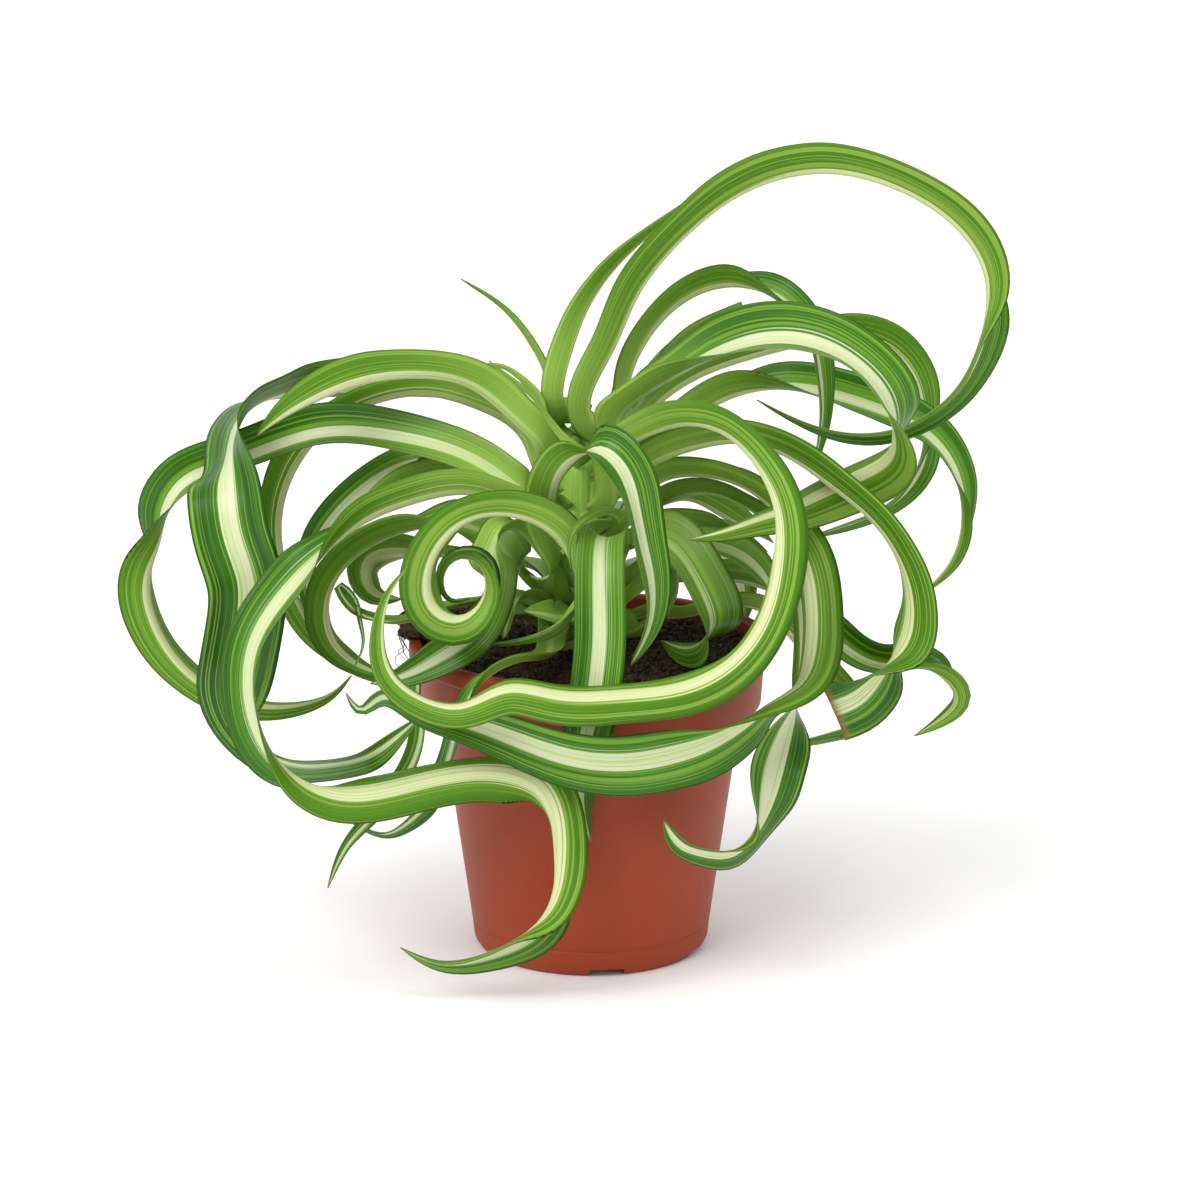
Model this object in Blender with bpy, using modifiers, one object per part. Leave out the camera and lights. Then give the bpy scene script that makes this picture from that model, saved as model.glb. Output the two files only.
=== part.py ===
"""Curly spider plant standing in a round nursery pot, at its real size.

Blender 4.5, metres, +Z up. The origin is the middle of the pot's underside, and the front faces -Y.
Every piece is its own object: the pot, the soil, the crown and each leaf.

A leaf is laid out on the front elevation, the upright plane through the pot's axis. A knot is
(across, up, out, facing): the millimetres across and up on that plane, the millimetres it then comes
out along the sight line of EYE, and the way the blade's upper face looks there.
"""

import math

import bmesh
import bpy
import numpy as np

MM = 0.001
CLEARANCE = 0.3  # between touching pieces

EYE = np.array((3.0, -1500.0, 519.0))  # where the front elevation is seen from

POT_HEIGHT = 105.0
RIM_RADIUS = 60.0
RIM_HEIGHT = 6.0
COLLAR_RADIUS = 57.2
COLLAR_HEIGHT = 22.0
WALL_TOP_RADIUS = 50.0
FOOT_RADIUS = 38.4
FOOT_CHAMFER = 3.0
WALL = 1.6
FLOOR_THICKNESS = 2.4
POT_STEPS = 48
NOTCH_COUNT = 6
NOTCH_WIDTH = 11.5
NOTCH_HEIGHT = 2.6
NOTCH_FROM = 30.0  # inner end of each notch, from the axis
NOTCH_TURN = math.radians(-82.0)  # the front notch

SOIL_EDGE = 99.5
SOIL_CENTRE = 102.0
SOIL_MOUND = 12.0  # the lump at the left
SOIL_MOUND_AT = (-42.0, 8.0)
SOIL_MOUND_SPREAD = 17.0
SOIL_STEPS = 40

CROWN_AT = (-3.0, 2.0)
CROWN_FOOT_RADIUS = 10.5
CROWN_NECK_RADIUS = 6.0
CROWN_TOP = 167.0
CROWN_STEPS = 20

LEAF_THICKNESS = 0.8
BASE_WIDTH = 6.0  # of each leaf where it leaves the crown
BASE_FOLD = 0.2  # share of its fold that a blade has at its foot
FOLD_SETTLES = 0.15  # share of its length by which it has the whole of it
BASE_RISE = 8.0  # length of the clasping foot of each leaf
TIP_WIDTH = 1.2
TAPER = 0.36  # share of its length over which a leaf draws out to its tip, unless its row says otherwise
GROW = 0.3  # share of its length over which it widens from its foot
STATION_SPACING = 9.0  # between a blade's cross sections

FACING = {
    "U": (0, 0, 1), "D": (0, 0, -1), "L": (-1, 0, 0), "R": (1, 0, 0), "F": (0, -1, 0), "B": (0, 1, 0),
}

# Each leaf: the turn of its foot round the crown in degrees (0 right, 90 back, 180 left, 270 front), the foot's
# height, its full width, the fold of each half in degrees, and its knots from the crown to the tip.
LEAVES = {
    "front_hoop": {
        "turn": 318, "height": 147, "width": 19, "fold": 38,
        "knots": (
            (8, 166, 18, "U"), (20, 174, 26, "Ub"), (33, 177, 37, "Ub"), (45, 173, 48, "URb"),
            (55, 162, 58, "Rub"), (61, 147, 66, "Rb"), (61, 130, 71, "RB"), (57, 112, 75, "RB"),
            (47, 97, 78, "RDB"), (31, 88, 80, "DB"), (10, 85, 81, "DB"), (-12, 85, 81, "DB"),
            (-28, 87, 81, "DB"), (-43, 81, 80, "Db"), (-57, 84, 78, "LDb"), (-66, 92, 76, "LB"),
            (-69, 106, 74, "LB"), (-66, 120, 72, "LB"), (-60, 129, 70, "LB"),
        ),
    },
    "front_sash": {
        "turn": 338, "height": 137, "width": 22, "fold": 25, "taper": 0.35,
        "knots": (
            (20, 156, -2, "Ub"), (36, 160, 3, "Ub"), (52, 155, 12, "Ub"), (64, 143, 22, "URb"),
            (71, 127, 31, "RB"), (73, 110, 40, "RB"), (72, 97, 49, "RBd"), (69, 89, 57, "RD"),
            (60, 82, 65, "Df"), (45, 72, 69, "DF"), (28, 65, 70, "F"), (10, 62, 71, "F"),
            (-8, 64, 71, "F"), (-25, 70, 70, "F"), (-42, 76, 69, "F"), (-58, 81, 66, "F"),
            (-70, 84, 64, "F"), (-76, 80, 64, "F"), (-81, 86, 64, "F"),
        ),
    },
    "outer_hoop": {
        "turn": 352, "height": 149, "width": 22, "fold": 38, "fold_end": 12, "cut": True,
        "knots": (
            (18, 162, 8, "Ub"), (34, 169, 18, "Ub"), (50, 171, 26, "Ub"), (65, 166, 34, "Ub"),
            (79, 156, 42, "URb"), (92, 145, 48, "URb"), (101, 132, 52, "RUb"), (105, 117, 56, "Rb"),
            (103, 103, 58, "RB"), (95, 91, 59, "RF"), (87, 83, 56, "F"), (80, 80, 54, "F"),
        ),
    },
    "right_hanger": {
        "turn": 12, "height": 142, "width": 20, "fold": 20, "taper": 0.2,
        "knots": (
            (18, 149, -18, "Ub"), (34, 154, -15, "Ub"), (50, 150, -8, "Ub"), (62, 140, 2, "URb"),
            (69, 122, 14, "RB"), (71, 104, 26, "RB"), (70, 88, 36, "RB"), (65, 74, 45, "RF"),
            (61, 60, 51, "F"), (58, 47, 55, "RF"), (54, 36, 57, "RD"), (47, 30, 59, "DF"),
            (38, 30, 60, "DF"), (30, 33, 61, "DF"), (24, 42, 61, "F"),
        ),
    },
    "great_loop": {
        "turn": 10, "height": 163, "width": 20, "fold": 44, "taper": 0.6,
        "knots": (
            (1, 178, 0, "Lb"), (6, 200, 4, "Lb"), (15, 220, 8, "ULb"), (31, 240, 12, "ULb"),
            (50, 254, 17, "ULb"), (75, 260, 22, "Ub"), (100, 254, 27, "URb"), (119, 241, 30, "URb"),
            (128, 225, 30, "Rb"), (127, 206, 28, "RF"), (118, 187, 24, "RF"), (100, 175, 19, "DF"),
            (80, 174, 13, "DF"), (54, 185, 6, "DF"),
        ),
    },
    "shoulder": {
        "turn": 338, "height": 158, "width": 24, "fold": 38, "taper": 0.35,
        "knots": (
            (10, 179, 14, "U"), (22, 190, 20, "U"), (38, 199, 28, "Uf"), (56, 205, 34, "UF"),
            (72, 204, 39, "UF"), (87, 196, 43, "URF"), (96, 185, 44, "RF"), (99, 174, 42, "R"),
            (97, 166, 36, "RDB"), (86, 159, 30, "DB"), (76, 154, 31, "DB"), (66, 149, 38, "DB"),
            (55, 145, 43, "DB"), (44, 141, 45, "DB"), (32, 138, 46, "DB"),
        ),
    },
    "pale_arch": {
        "turn": 42, "height": 160, "width": 17, "fold": 36, "taper": 0.55,
        "knots": (
            (12, 191, -13, "LU"), (20, 208, -13, "LUb"), (32, 219, -12, "Ub"), (46, 223, -9, "Ub"),
            (60, 219, -4, "Uf"), (70, 208, 0, "RUf"), (74, 194, 2, "RF"), (75, 178, 2, "RF"),
            (72, 160, 0, "RF"),
        ),
    },
    "right_arch": {
        "turn": 12, "height": 152, "width": 20, "fold": 38, "taper": 0.55,
        "knots": (
            (20, 169, -18, "Ub"), (33, 179, -24, "Ub"), (48, 187, -28, "Ub"), (66, 189, -30, "Uf"),
            (84, 185, -30, "UF"), (100, 179, -28, "UF"), (112, 171, -26, "URF"), (120, 158, -22, "RF"),
            (122, 143, -17, "R"), (118, 130, -10, "RB"), (108, 119, -3, "RDB"),
        ),
    },
    "back_hook": {
        "turn": 64, "height": 151, "width": 18, "fold": 38, "taper": 0.5,
        "knots": (
            (12, 174, -34, "Ub"), (30, 190, -46, "Ub"), (55, 200, -54, "Ub"), (78, 205, -56, "Ub"),
            (95, 203, -55, "URb"), (105, 192, -52, "RB"), (109, 177, -46, "R"), (107, 162, -38, "RF"),
            (99, 151, -32, "DF"), (86, 144, -26, "DF"), (68, 138, -20, "DF"),
        ),
    },
    "cut_blade": {
        "turn": 100, "height": 158, "width": 13, "fold": 38, "cut": True,
        "knots": ((10, 178, -26, "Lu"), (21, 193, -29, "LU"), (33, 205, -32, "LUb"), (50, 213, -35, "Ub")),
    },
    "low_right": {
        "turn": 0, "height": 113, "width": 15, "fold": 34, "taper": 0.3,
        "knots": (
            (25, 124, -24, "Ub"), (50, 124, -34, "Ub"), (70, 114, -34, "Ub"), (84, 101, -26, "UF"),
            (98, 95, -12, "UF"), (110, 95, -2, "UF"), (118, 90, 4, "R"), (121, 84, 6, "RB"),
            (116, 77, 8, "DB"), (107, 71, 10, "DB"),
        ),
    },
    "low_tuck": {
        "turn": 350, "height": 106, "width": 12, "fold": 30,
        "knots": (
            (28, 112, -10, "Ub"), (50, 116, -16, "Ub"), (64, 108, -24, "Ub"), (74, 96, -30, "Ub"),
            (86, 84, -32, "Ub"), (91, 78, -28, "RDf"), (84, 73, -18, "DF"), (74, 70, -8, "DF"),
            (62, 67, 0, "DF"),
        ),
    },
    "inner_arch_high": {
        "turn": 358, "height": 130, "width": 13, "fold": 36,
        "knots": (
            (18, 141, -8, "Ub"), (28, 143, -14, "Ub"), (38, 142, -18, "Ub"), (48, 138, -20, "Uf"),
            (58, 134, -22, "Uf"),
        ),
    },
    "inner_arch_low": {
        "turn": 350, "height": 119, "width": 15, "fold": 34,
        "knots": (
            (16, 126, 2, "Ub"), (26, 134, 0, "Ub"), (38, 136, -5, "UF"), (50, 132, -9, "UF"),
            (57, 125, -9, "RF"), (62, 114, -6, "RF"),
        ),
    },
    "olive_arch": {
        "turn": 52, "height": 136, "width": 16, "fold": 36,
        "knots": (
            (18, 148, -38, "Ub"), (30, 152, -42, "Ub"), (42, 147, -46, "Ub"), (53, 141, -53, "Ub"),
            (60, 137, -58, "U"),
        ),
    },
    "soil_droop": {
        "turn": 318, "height": 130, "width": 22, "fold": 26,
        "knots": (
            (14, 136, 18, "U"), (23, 138, 26, "UF"), (31, 131, 34, "RF"), (37, 120, 38, "FR"),
            (40, 110, 38, "FR"), (37, 103, 34, "DR"), (30, 101, 26, "DB"), (23, 104, 18, "DB"),
        ),
    },
    "back_droop": {
        "turn": 28, "height": 118, "width": 19, "fold": 21,
        "knots": (
            (30, 131, -36, "Ub"), (41, 132, -50, "UF"), (47, 125, -60, "F"), (49, 115, -66, "F"),
            (48, 106, -68, "F"),
        ),
    },
    "soil_hook": {
        "turn": 318, "height": 107, "width": 11, "fold": 34,
        "knots": (
            (12, 106, 14, "U"), (19, 108, 20, "UL"), (25, 114, 23, "UL"), (28, 122, 24, "L"),
            (27, 129, 20, "ULf"), (23, 127, 16, "DLf"),
        ),
    },
    "centre_arch": {
        "turn": 230, "height": 117, "width": 18, "fold": 30,
        "knots": (
            (-11, 132, 24, "Lf"), (-13, 147, 33, "LB"), (-11, 159, 38, "LB"), (-5, 166, 42, "UB"),
            (3, 168, 46, "UF"), (10, 162, 49, "UF"), (14, 151, 52, "FR"), (17, 137, 55, "FR"),
            (20, 122, 57, "FR"), (19, 108, 58, "FR"), (13, 95, 58, "F"),
        ),
    },
    "centre_droop": {
        "turn": 292, "height": 118, "width": 18, "fold": 24, "grow": 0.5,
        "knots": (
            (5, 128, 26, "U"), (6, 136, 34, "Ub"), (4, 139, 42, "Uf"), (3, 132, 50, "F"),
            (3, 118, 56, "F"), (3, 104, 60, "F"), (2, 92, 63, "F"), (0, 78, 63, "F"), (-2, 68, 61, "F"),
            (-3, 58, 53, "F"), (-3, 47, 49, "F"), (0, 34, 48, "F"),
        ),
    },
    "centre_wisp": {
        "turn": 303, "height": 140, "width": 6, "fold": 40, "taper": 0.7,
        "knots": (
            (9, 144, 20, "U"), (7, 147, 32, "U"), (1, 146, 44, "U"), (-5, 141, 51, "U"),
            (-7, 134, 53, "L"), (-6, 127, 53, "L"),
        ),
    },
    "front_curl": {
        "turn": 262, "height": 124, "width": 17, "fold": 34, "taper": 0.4,
        "knots": (
            (-5, 128, 36, "R"), (-11, 139, 43, "UB"), (-20, 145, 47, "UB"), (-31, 147, 51, "UB"),
            (-42, 144, 55, "UB"), (-50, 136, 57, "LB"), (-54, 125, 58, "LB"), (-52, 115, 58, "DB"),
            (-45, 111, 57, "DB"), (-38, 114, 54, "RD"), (-34, 122, 50, "R"), (-37, 131, 45, "U"),
            (-44, 132, 41, "U"), (-49, 125, 38, "L"), (-46, 118, 35, "LD"), (-40, 118, 32, "D"),
        ),
    },
    "ring_wisp": {
        "turn": 284, "height": 109, "width": 9, "fold": 22, "taper": 0.7,
        "knots": (
            (2, 113, 26, "R"), (-4, 118, 42, "DRf"), (-10, 110, 48, "DF"), (-19, 105, 47, "DF"),
            (-28, 103, 42, "DF"), (-36, 102, 36, "DF"),
        ),
    },
    "rim_drape": {
        "turn": 222, "height": 128, "width": 16, "fold": 26,
        "knots": (
            (-20, 138, 14, "U"), (-28, 142, 21, "U"), (-32, 136, 26, "L"), (-32, 126, 29, "RF"),
            (-34, 115, 37, "FR"), (-41, 105, 45, "F"), (-51, 98, 46, "F"), (-62, 92, 44, "F"),
            (-73, 89, 42, "F"),
        ),
    },
    "left_ring": {
        "turn": 192, "height": 117, "width": 19, "fold": 28, "taper": 0.45,
        "knots": (
            (-24, 128, 9, "Uf"), (-32, 138, 4, "UF"), (-44, 143, 2, "Uf"), (-58, 142, 2, "Ub"),
            (-71, 137, 4, "Ub"), (-81, 129, 6, "ULb"), (-87, 117, 10, "Lb"), (-86, 105, 14, "LB"),
            (-78, 96, 20, "DB"), (-65, 91, 26, "DB"),
        ),
    },
    "back_curl": {
        "turn": 160, "height": 121, "width": 16, "fold": 22,
        "knots": (
            (-24, 130, -12, "Ub"), (-38, 132, -20, "Ub"), (-50, 133, -24, "Ub"), (-62, 134, -25, "UB"),
            (-73, 130, -22, "LB"), (-72, 121, -16, "DB"), (-62, 118, -14, "DB"),
        ),
    },
    "soil_fan": {
        "turn": 215, "height": 112, "width": 10, "fold": 28,
        "knots": ((-18, 118, 16, "Ub"), (-24, 118, 24, "Ub"), (-27, 112, 30, "LF"), (-29, 104, 32, "F")),
    },
    "soil_blade": {
        "turn": 266, "height": 113, "width": 12, "fold": 24,
        "knots": ((-10, 112, 30, "UF"), (-16, 113, 35, "UF"), (-22, 114, 38, "UF")),
    },
    "left_wisp": {
        "turn": 165, "height": 106, "width": 5, "fold": 36, "taper": 0.6,
        "knots": (
            (-34, 117, 10, "U"), (-50, 114, 20, "U"), (-64, 110, 26, "U"), (-74, 112, 27, "UF"),
            (-81, 118, 27, "F"), (-83, 123, 27, "F"), (-79, 120, 27, "F"), (-76, 111, 28, "F"),
            (-75, 103, 30, "F"), (-78, 95, 32, "F"),
        ),
    },
    "left_arch_high": {
        "turn": 184, "height": 159, "width": 19, "fold": 38,
        "knots": (
            (-17, 169, 6, "Ub"), (-27, 180, 7, "Ub"), (-40, 190, 8, "Ub"), (-56, 193, 11, "UB"),
            (-74, 191, 13, "UB"), (-90, 185, 14, "UB"), (-101, 179, 13, "UB"), (-109, 173, 11, "UB"),
        ),
    },
    "left_olive_ring": {
        "turn": 168, "height": 152, "width": 17, "fold": 38,
        "knots": (
            (-22, 172, -9, "Ub"), (-38, 183, -12, "Ub"), (-54, 187, -14, "Ub"), (-68, 185, -15, "Ub"),
            (-81, 179, -18, "ULb"), (-92, 169, -21, "Lb"), (-99, 157, -20, "Lb"), (-102, 144, -18, "Lb"),
            (-101, 131, -14, "Lb"), (-97, 119, -10, "Lb"), (-92, 109, -6, "LDb"), (-84, 100, 0, "Db"),
            (-75, 93, 5, "Db"), (-64, 88, 9, "Db"),
        ),
    },
    "left_broad": {
        "turn": 142, "height": 156, "width": 26, "fold": 16, "taper": 0.3,
        "knots": (
            (-18, 178, -26, "Ub"), (-42, 186, -44, "Ub"), (-66, 189, -52, "UB"), (-88, 189, -46, "UB"),
            (-104, 186, -30, "UB"), (-114, 179, -7, "UL"), (-118, 167, 14, "LF"), (-119, 152, 29, "F"),
            (-117, 138, 33, "F"), (-113, 124, 33, "F"), (-114, 108, 31, "F"), (-117, 92, 29, "F"),
            (-117, 78, 28, "LF"), (-111, 68, 30, "DLF"), (-99, 61, 39, "DF"), (-86, 61, 48, "DF"),
            (-74, 64, 54, "DF"), (-64, 71, 57, "F"), (-56, 78, 60, "F"),
        ),
    },
    "left_far_loop": {
        "turn": 208, "height": 148, "width": 19, "fold": 34, "taper": 0.45,
        "knots": (
            (-20, 153, 10, "Uf"), (-32, 161, 9, "UF"), (-48, 169, 5, "UF"), (-66, 173, 0, "UF"),
            (-86, 174, -4, "UF"), (-104, 169, -8, "UF"), (-120, 163, -8, "UF"), (-133, 157, -6, "UF"),
            (-139, 148, -4, "ULF"), (-142, 137, -2, "L"), (-146, 124, 0, "LB"), (-144, 110, 2, "LB"),
            (-136, 96, 4, "LB"), (-124, 86, 5, "DB"), (-108, 81, 6, "DB"), (-94, 82, 7, "DB"),
            (-85, 86, 8, "Db"), (-79, 92, 8, "Db"),
        ),
    },
    "left_big_loop": {
        "turn": 212, "height": 138, "width": 20, "fold": 34, "taper": 0.2,
        "knots": (
            (-18, 146, 10, "Ub"), (-30, 152, 16, "Ub"), (-44, 154, 22, "UB"), (-58, 151, 27, "UB"),
            (-71, 146, 32, "UB"), (-83, 138, 37, "UL"), (-94, 127, 43, "LF"), (-104, 115, 48, "LF"),
            (-111, 102, 52, "LF"), (-113, 88, 55, "LF"), (-111, 75, 58, "LF"), (-105, 63, 60, "LDF"),
            (-94, 54, 62, "D"), (-79, 51, 63, "DB"), (-62, 54, 63, "DB"), (-44, 58, 63, "DB"),
            (-28, 58, 63, "DB"), (-17, 53, 63, "B"), (-12, 43, 64, "RB"), (-11, 29, 64, "RB"),
            (-13, 13, 64, "R"), (-22, 1, 61, "DF"), (-36, -6, 59, "DF"), (-51, -8, 58, "DF"),
            (-64, -3, 57, "DF"),
        ),
    },
    "left_mid_arch": {
        "turn": 166, "height": 144, "width": 15, "fold": 34,
        "knots": (
            (-22, 158, -14, "Ub"), (-36, 164, -16, "Ub"), (-50, 165, -16, "Ub"), (-63, 161, -15, "UF"),
            (-74, 154, -14, "UF"), (-83, 145, -12, "LF"), (-89, 136, -10, "LF"), (-92, 126, -8, "LF"),
            (-91, 114, -4, "LF"), (-88, 104, 0, "F"),
        ),
    },
    "left_low_arch": {
        "turn": 188, "height": 134, "width": 16, "fold": 34,
        "knots": (
            (-22, 149, -5, "Ub"), (-31, 155, -8, "Ub"), (-44, 159, -8, "Ub"), (-57, 157, -5, "UB"),
            (-68, 151, -1, "UB"), (-77, 143, 2, "UL"), (-83, 136, 3, "UL"),
        ),
    },
    "top_left_blade": {
        "turn": 140, "height": 166, "width": 7, "fold": 40, "taper": 0.9,
        "knots": ((-14, 191, -16, "Ru"), (-19, 203, -18, "Ru"), (-27, 214, -19, "RU"), (-42, 225, -20, "RU")),
    },
    "top_left_wisp_a": {
        "turn": 195, "height": 166, "width": 6, "fold": 42, "taper": 0.9,
        "knots": ((-17, 184, -1, "Ub"), (-22, 191, -2, "Ub"), (-29, 196, -3, "Ub"), (-39, 196, -4, "Ub")),
    },
    "top_left_wisp_b": {
        "turn": 258, "height": 164, "width": 5, "fold": 42, "taper": 0.9,
        "knots": ((-13, 177, 12, "RU"), (-19, 186, 15, "RU"), (-26, 192, 17, "RU"), (-33, 198, 18, "RU")),
    },
    "tall_blade": {
        "turn": 80, "height": 165, "width": 13, "fold": 38, "taper": 0.7,
        "knots": (
            (-9, 183, -5, "Lb"), (-7, 200, -8, "Lb"), (-2, 214, -12, "Lb"), (6, 227, -16, "ULb"),
            (18, 239, -18, "ULb"), (37, 254, -20, "Ub"),
        ),
    },
    "low_left_strand": {
        "turn": 202, "height": 106, "width": 8, "fold": 32,
        "knots": (
            (-38, 108, 28, "U"), (-51, 100, 34, "U"), (-57, 89, 36, "LF"), (-56, 76, 38, "LF"),
            (-58, 64, 40, "LF"), (-64, 53, 40, "LF"), (-72, 43, 38, "LF"), (-81, 33, 36, "LF"),
            (-88, 18, 34, "F"),
        ),
    },
    "low_left_curl": {
        "turn": 238, "height": 106, "width": 8, "fold": 28,
        "knots": (
            (-14, 99, 38, "U"), (-24, 97, 54, "U"), (-36, 90, 62, "L"), (-41, 82, 60, "Lf"),
            (-45, 71, 52, "LF"), (-49, 58, 44, "LF"), (-55, 47, 40, "DF"), (-62, 40, 34, "DF"),
            (-71, 37, 26, "DF"), (-79, 41, 22, "DF"), (-85, 46, 20, "DF"),
        ),
    },
}


def facing_vector(letters):
    """The direction that the letters name: a capital counts whole, a small letter half."""
    total = np.zeros(3)
    for letter in letters:
        total += np.array(FACING[letter.upper()]) * (1.0 if letter.isupper() else 0.5)
    return total / np.linalg.norm(total)


def from_elevation(across, up, out):
    """A place on the front elevation, brought out along the sight line."""
    sheet = np.array((across, 0.0, up))
    return sheet + (EYE - sheet) * (out / -EYE[1])


def smooth_curve(knots, count):
    """Points at even spacing on the natural cubic curve through the knots, and their places among the knots."""
    knots = np.asarray(knots, float)
    chord = np.concatenate([[0.0], np.cumsum(np.linalg.norm(np.diff(knots, axis=0), axis=1))])
    gap = np.diff(chord)
    size = len(knots)
    system = np.eye(size)
    right = np.zeros((size, knots.shape[1]))
    for i in range(1, size - 1):
        system[i, i - 1:i + 2] = gap[i - 1], 2 * (gap[i - 1] + gap[i]), gap[i]
        right[i] = 6 * ((knots[i + 1] - knots[i]) / gap[i] - (knots[i] - knots[i - 1]) / gap[i - 1])
    bend = np.linalg.solve(system, right)

    def at(place):
        i = np.clip(np.searchsorted(chord, place, side="right") - 1, 0, size - 2)
        a = ((chord[i + 1] - place) / gap[i])[:, None]
        b = 1 - a
        step = gap[i][:, None]
        return a * knots[i] + b * knots[i + 1] + ((a**3 - a) * bend[i] + (b**3 - b) * bend[i + 1]) * step**2 / 6

    fine = np.linspace(0, chord[-1], 40 * size)
    run = np.concatenate([[0.0], np.cumsum(np.linalg.norm(np.diff(at(fine), axis=0), axis=1))])
    place = np.interp(np.linspace(0, run[-1], count), run, fine)
    return at(place), np.interp(place, chord, np.arange(size)), run[-1]


def mound(x, y):
    """Height of the soil's surface."""
    from_lump = math.hypot(x - SOIL_MOUND_AT[0], y - SOIL_MOUND_AT[1]) / SOIL_MOUND_SPREAD
    edge = min(1.0, math.hypot(x, y) / WALL_TOP_RADIUS)
    return SOIL_CENTRE + (SOIL_EDGE - SOIL_CENTRE) * edge**2 + SOIL_MOUND * math.exp(-from_lump**2)


def crown_radius(height):
    """Radius of the crown, the column of clasped leaf bases."""
    foot = SOIL_CENTRE + CLEARANCE
    share = min(1.0, max(0.0, (height - foot) / (CROWN_TOP - foot)))
    return CROWN_FOOT_RADIUS + (CROWN_NECK_RADIUS - CROWN_FOOT_RADIUS) * share


def blade_width(share, width, cut, taper, grow):
    """Full width of a blade at a share of its length: it widens from the clasping foot and draws out to a tip."""
    grown = min(1.0, share / grow)
    wide = BASE_WIDTH + (width - BASE_WIDTH) * grown * grown * (3 - 2 * grown)
    if cut:
        return wide
    left = (1 - share) / taper
    return wide if left >= 1 else TIP_WIDTH + (wide - TIP_WIDTH) * math.sin(left * math.pi / 2)


def leaf_path(turn, height, knots):
    """Knots and facings of a whole leaf: the clasping foot on the crown, then the knots of its table row."""
    turn = math.radians(turn)
    outward = np.array((math.cos(turn), math.sin(turn), 0.0))
    stand_off = crown_radius(height) + 2 * CLEARANCE
    foot = np.array((*CROWN_AT, height)) + outward * stand_off
    rise = outward * 0.75 + np.array((0.0, 0.0, 0.66))
    places = [foot, foot + rise * BASE_RISE] + [from_elevation(*knot[:3]) for knot in knots]
    clasp = np.array((0.0, 0.0, 1.0)) - outward
    return places, [clasp, clasp] + [facing_vector(knot[3]) for knot in knots]


def leaf_sections(turn, height, width, fold, knots, cut=False, taper=TAPER, grow=GROW, fold_end=None):
    """Cross sections of a leaf along its midrib: three points on the upper face, then three below them."""
    places, facings = leaf_path(turn, height, knots)
    length = smooth_curve(places, 4)[2]
    points, order, _ = smooth_curve(places, max(10, round(length / STATION_SPACING)))
    hints = np.array([np.interp(order, range(len(facings)), np.array(facings)[:, k]) for k in range(3)]).T
    along = np.gradient(points, axis=0)
    last_fold = fold if fold_end is None else fold_end
    sections = []
    for i, point in enumerate(points):
        share = i / (len(points) - 1)
        settled = min(1.0, share / FOLD_SETTLES)
        bent = math.radians(fold + (last_fold - fold) * share) * (BASE_FOLD + (1 - BASE_FOLD) * settled)
        ahead = along[i] / np.linalg.norm(along[i])
        upper = hints[i] - ahead * hints[i].dot(ahead)
        upper /= np.linalg.norm(upper)
        side = np.cross(ahead, upper)
        half = blade_width(share, width, cut, taper, grow) / 2
        reach = side * half * math.cos(bent)
        lift = upper * half * math.sin(bent)
        under = upper * LEAF_THICKNESS
        sections.append([point - reach + lift, point, point + reach + lift,
                         point + reach + lift - under, point - under, point - reach + lift - under])
    return sections


def loft(name, sections, material, collection):
    """A closed solid through cross sections that each have the same number of points."""
    shape = bmesh.new()
    rings = [[shape.verts.new(np.asarray(point) * MM) for point in section] for section in sections]
    count = len(rings[0])
    for low, high in zip(rings, rings[1:]):
        for k in range(count):
            n = (k + 1) % count
            corners = [low[k], low[n], high[n], high[k]]
            if k >= count // 2:
                # the far half is split along the same diagonals, so a twisted blade keeps its thickness
                corners = corners[1:] + corners[:1]
            shape.faces.new(corners)
    shape.faces.new(rings[0])
    shape.faces.new(rings[-1])
    bmesh.ops.recalc_face_normals(shape, faces=shape.faces)
    mesh = bpy.data.meshes.new(name)
    shape.to_mesh(mesh)
    shape.free()
    return add_object(name, mesh, material, collection)


def add_object(name, mesh, material, collection):
    """An object of the mesh, with its material, in the collection."""
    mesh.materials.append(material)
    mesh.shade_smooth()
    mesh.set_sharp_from_angle(angle=math.radians(35))
    thing = bpy.data.objects.new(name, mesh)
    collection.objects.link(thing)
    return thing


def plain_material(name, color, roughness):
    """A Principled material of one colour."""
    material = bpy.data.materials.new(name)
    material.use_nodes = True
    shader = material.node_tree.nodes["Principled BSDF"]
    shader.inputs["Base Color"].default_value = (*color, 1.0)
    shader.inputs["Roughness"].default_value = roughness
    shader.inputs["Metallic"].default_value = 0.0
    return material


def wall_radius(height):
    """Outer radius of the pot's tapered wall below the collar."""
    share = height / (POT_HEIGHT - COLLAR_HEIGHT)
    return FOOT_RADIUS + (WALL_TOP_RADIUS - FOOT_RADIUS) * share


def pot_profile():
    """Half of the pot's section as (radius, height), down the outside, under the floor and up the inside."""
    shoulder = POT_HEIGHT - COLLAR_HEIGHT
    outside = [
        (RIM_RADIUS - 1, POT_HEIGHT), (RIM_RADIUS, POT_HEIGHT - 1), (RIM_RADIUS, POT_HEIGHT - RIM_HEIGHT + 1),
        (COLLAR_RADIUS, POT_HEIGHT - RIM_HEIGHT), (COLLAR_RADIUS - 1, shoulder + 1),
        (COLLAR_RADIUS - 2, shoulder), (WALL_TOP_RADIUS, shoulder - 1),
        (FOOT_RADIUS + 0.6, FOOT_CHAMFER), (FOOT_RADIUS - 1.4, 0),
    ]
    inside = [
        (0, 0), (0, FLOOR_THICKNESS), (FOOT_RADIUS - WALL - 1, FLOOR_THICKNESS),
        (wall_radius(FOOT_CHAMFER) - WALL, FLOOR_THICKNESS + 1.5), (WALL_TOP_RADIUS - WALL, shoulder),
        (COLLAR_RADIUS - 1 - WALL, shoulder + 2), (COLLAR_RADIUS - WALL, POT_HEIGHT),
    ]
    return outside + inside


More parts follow.
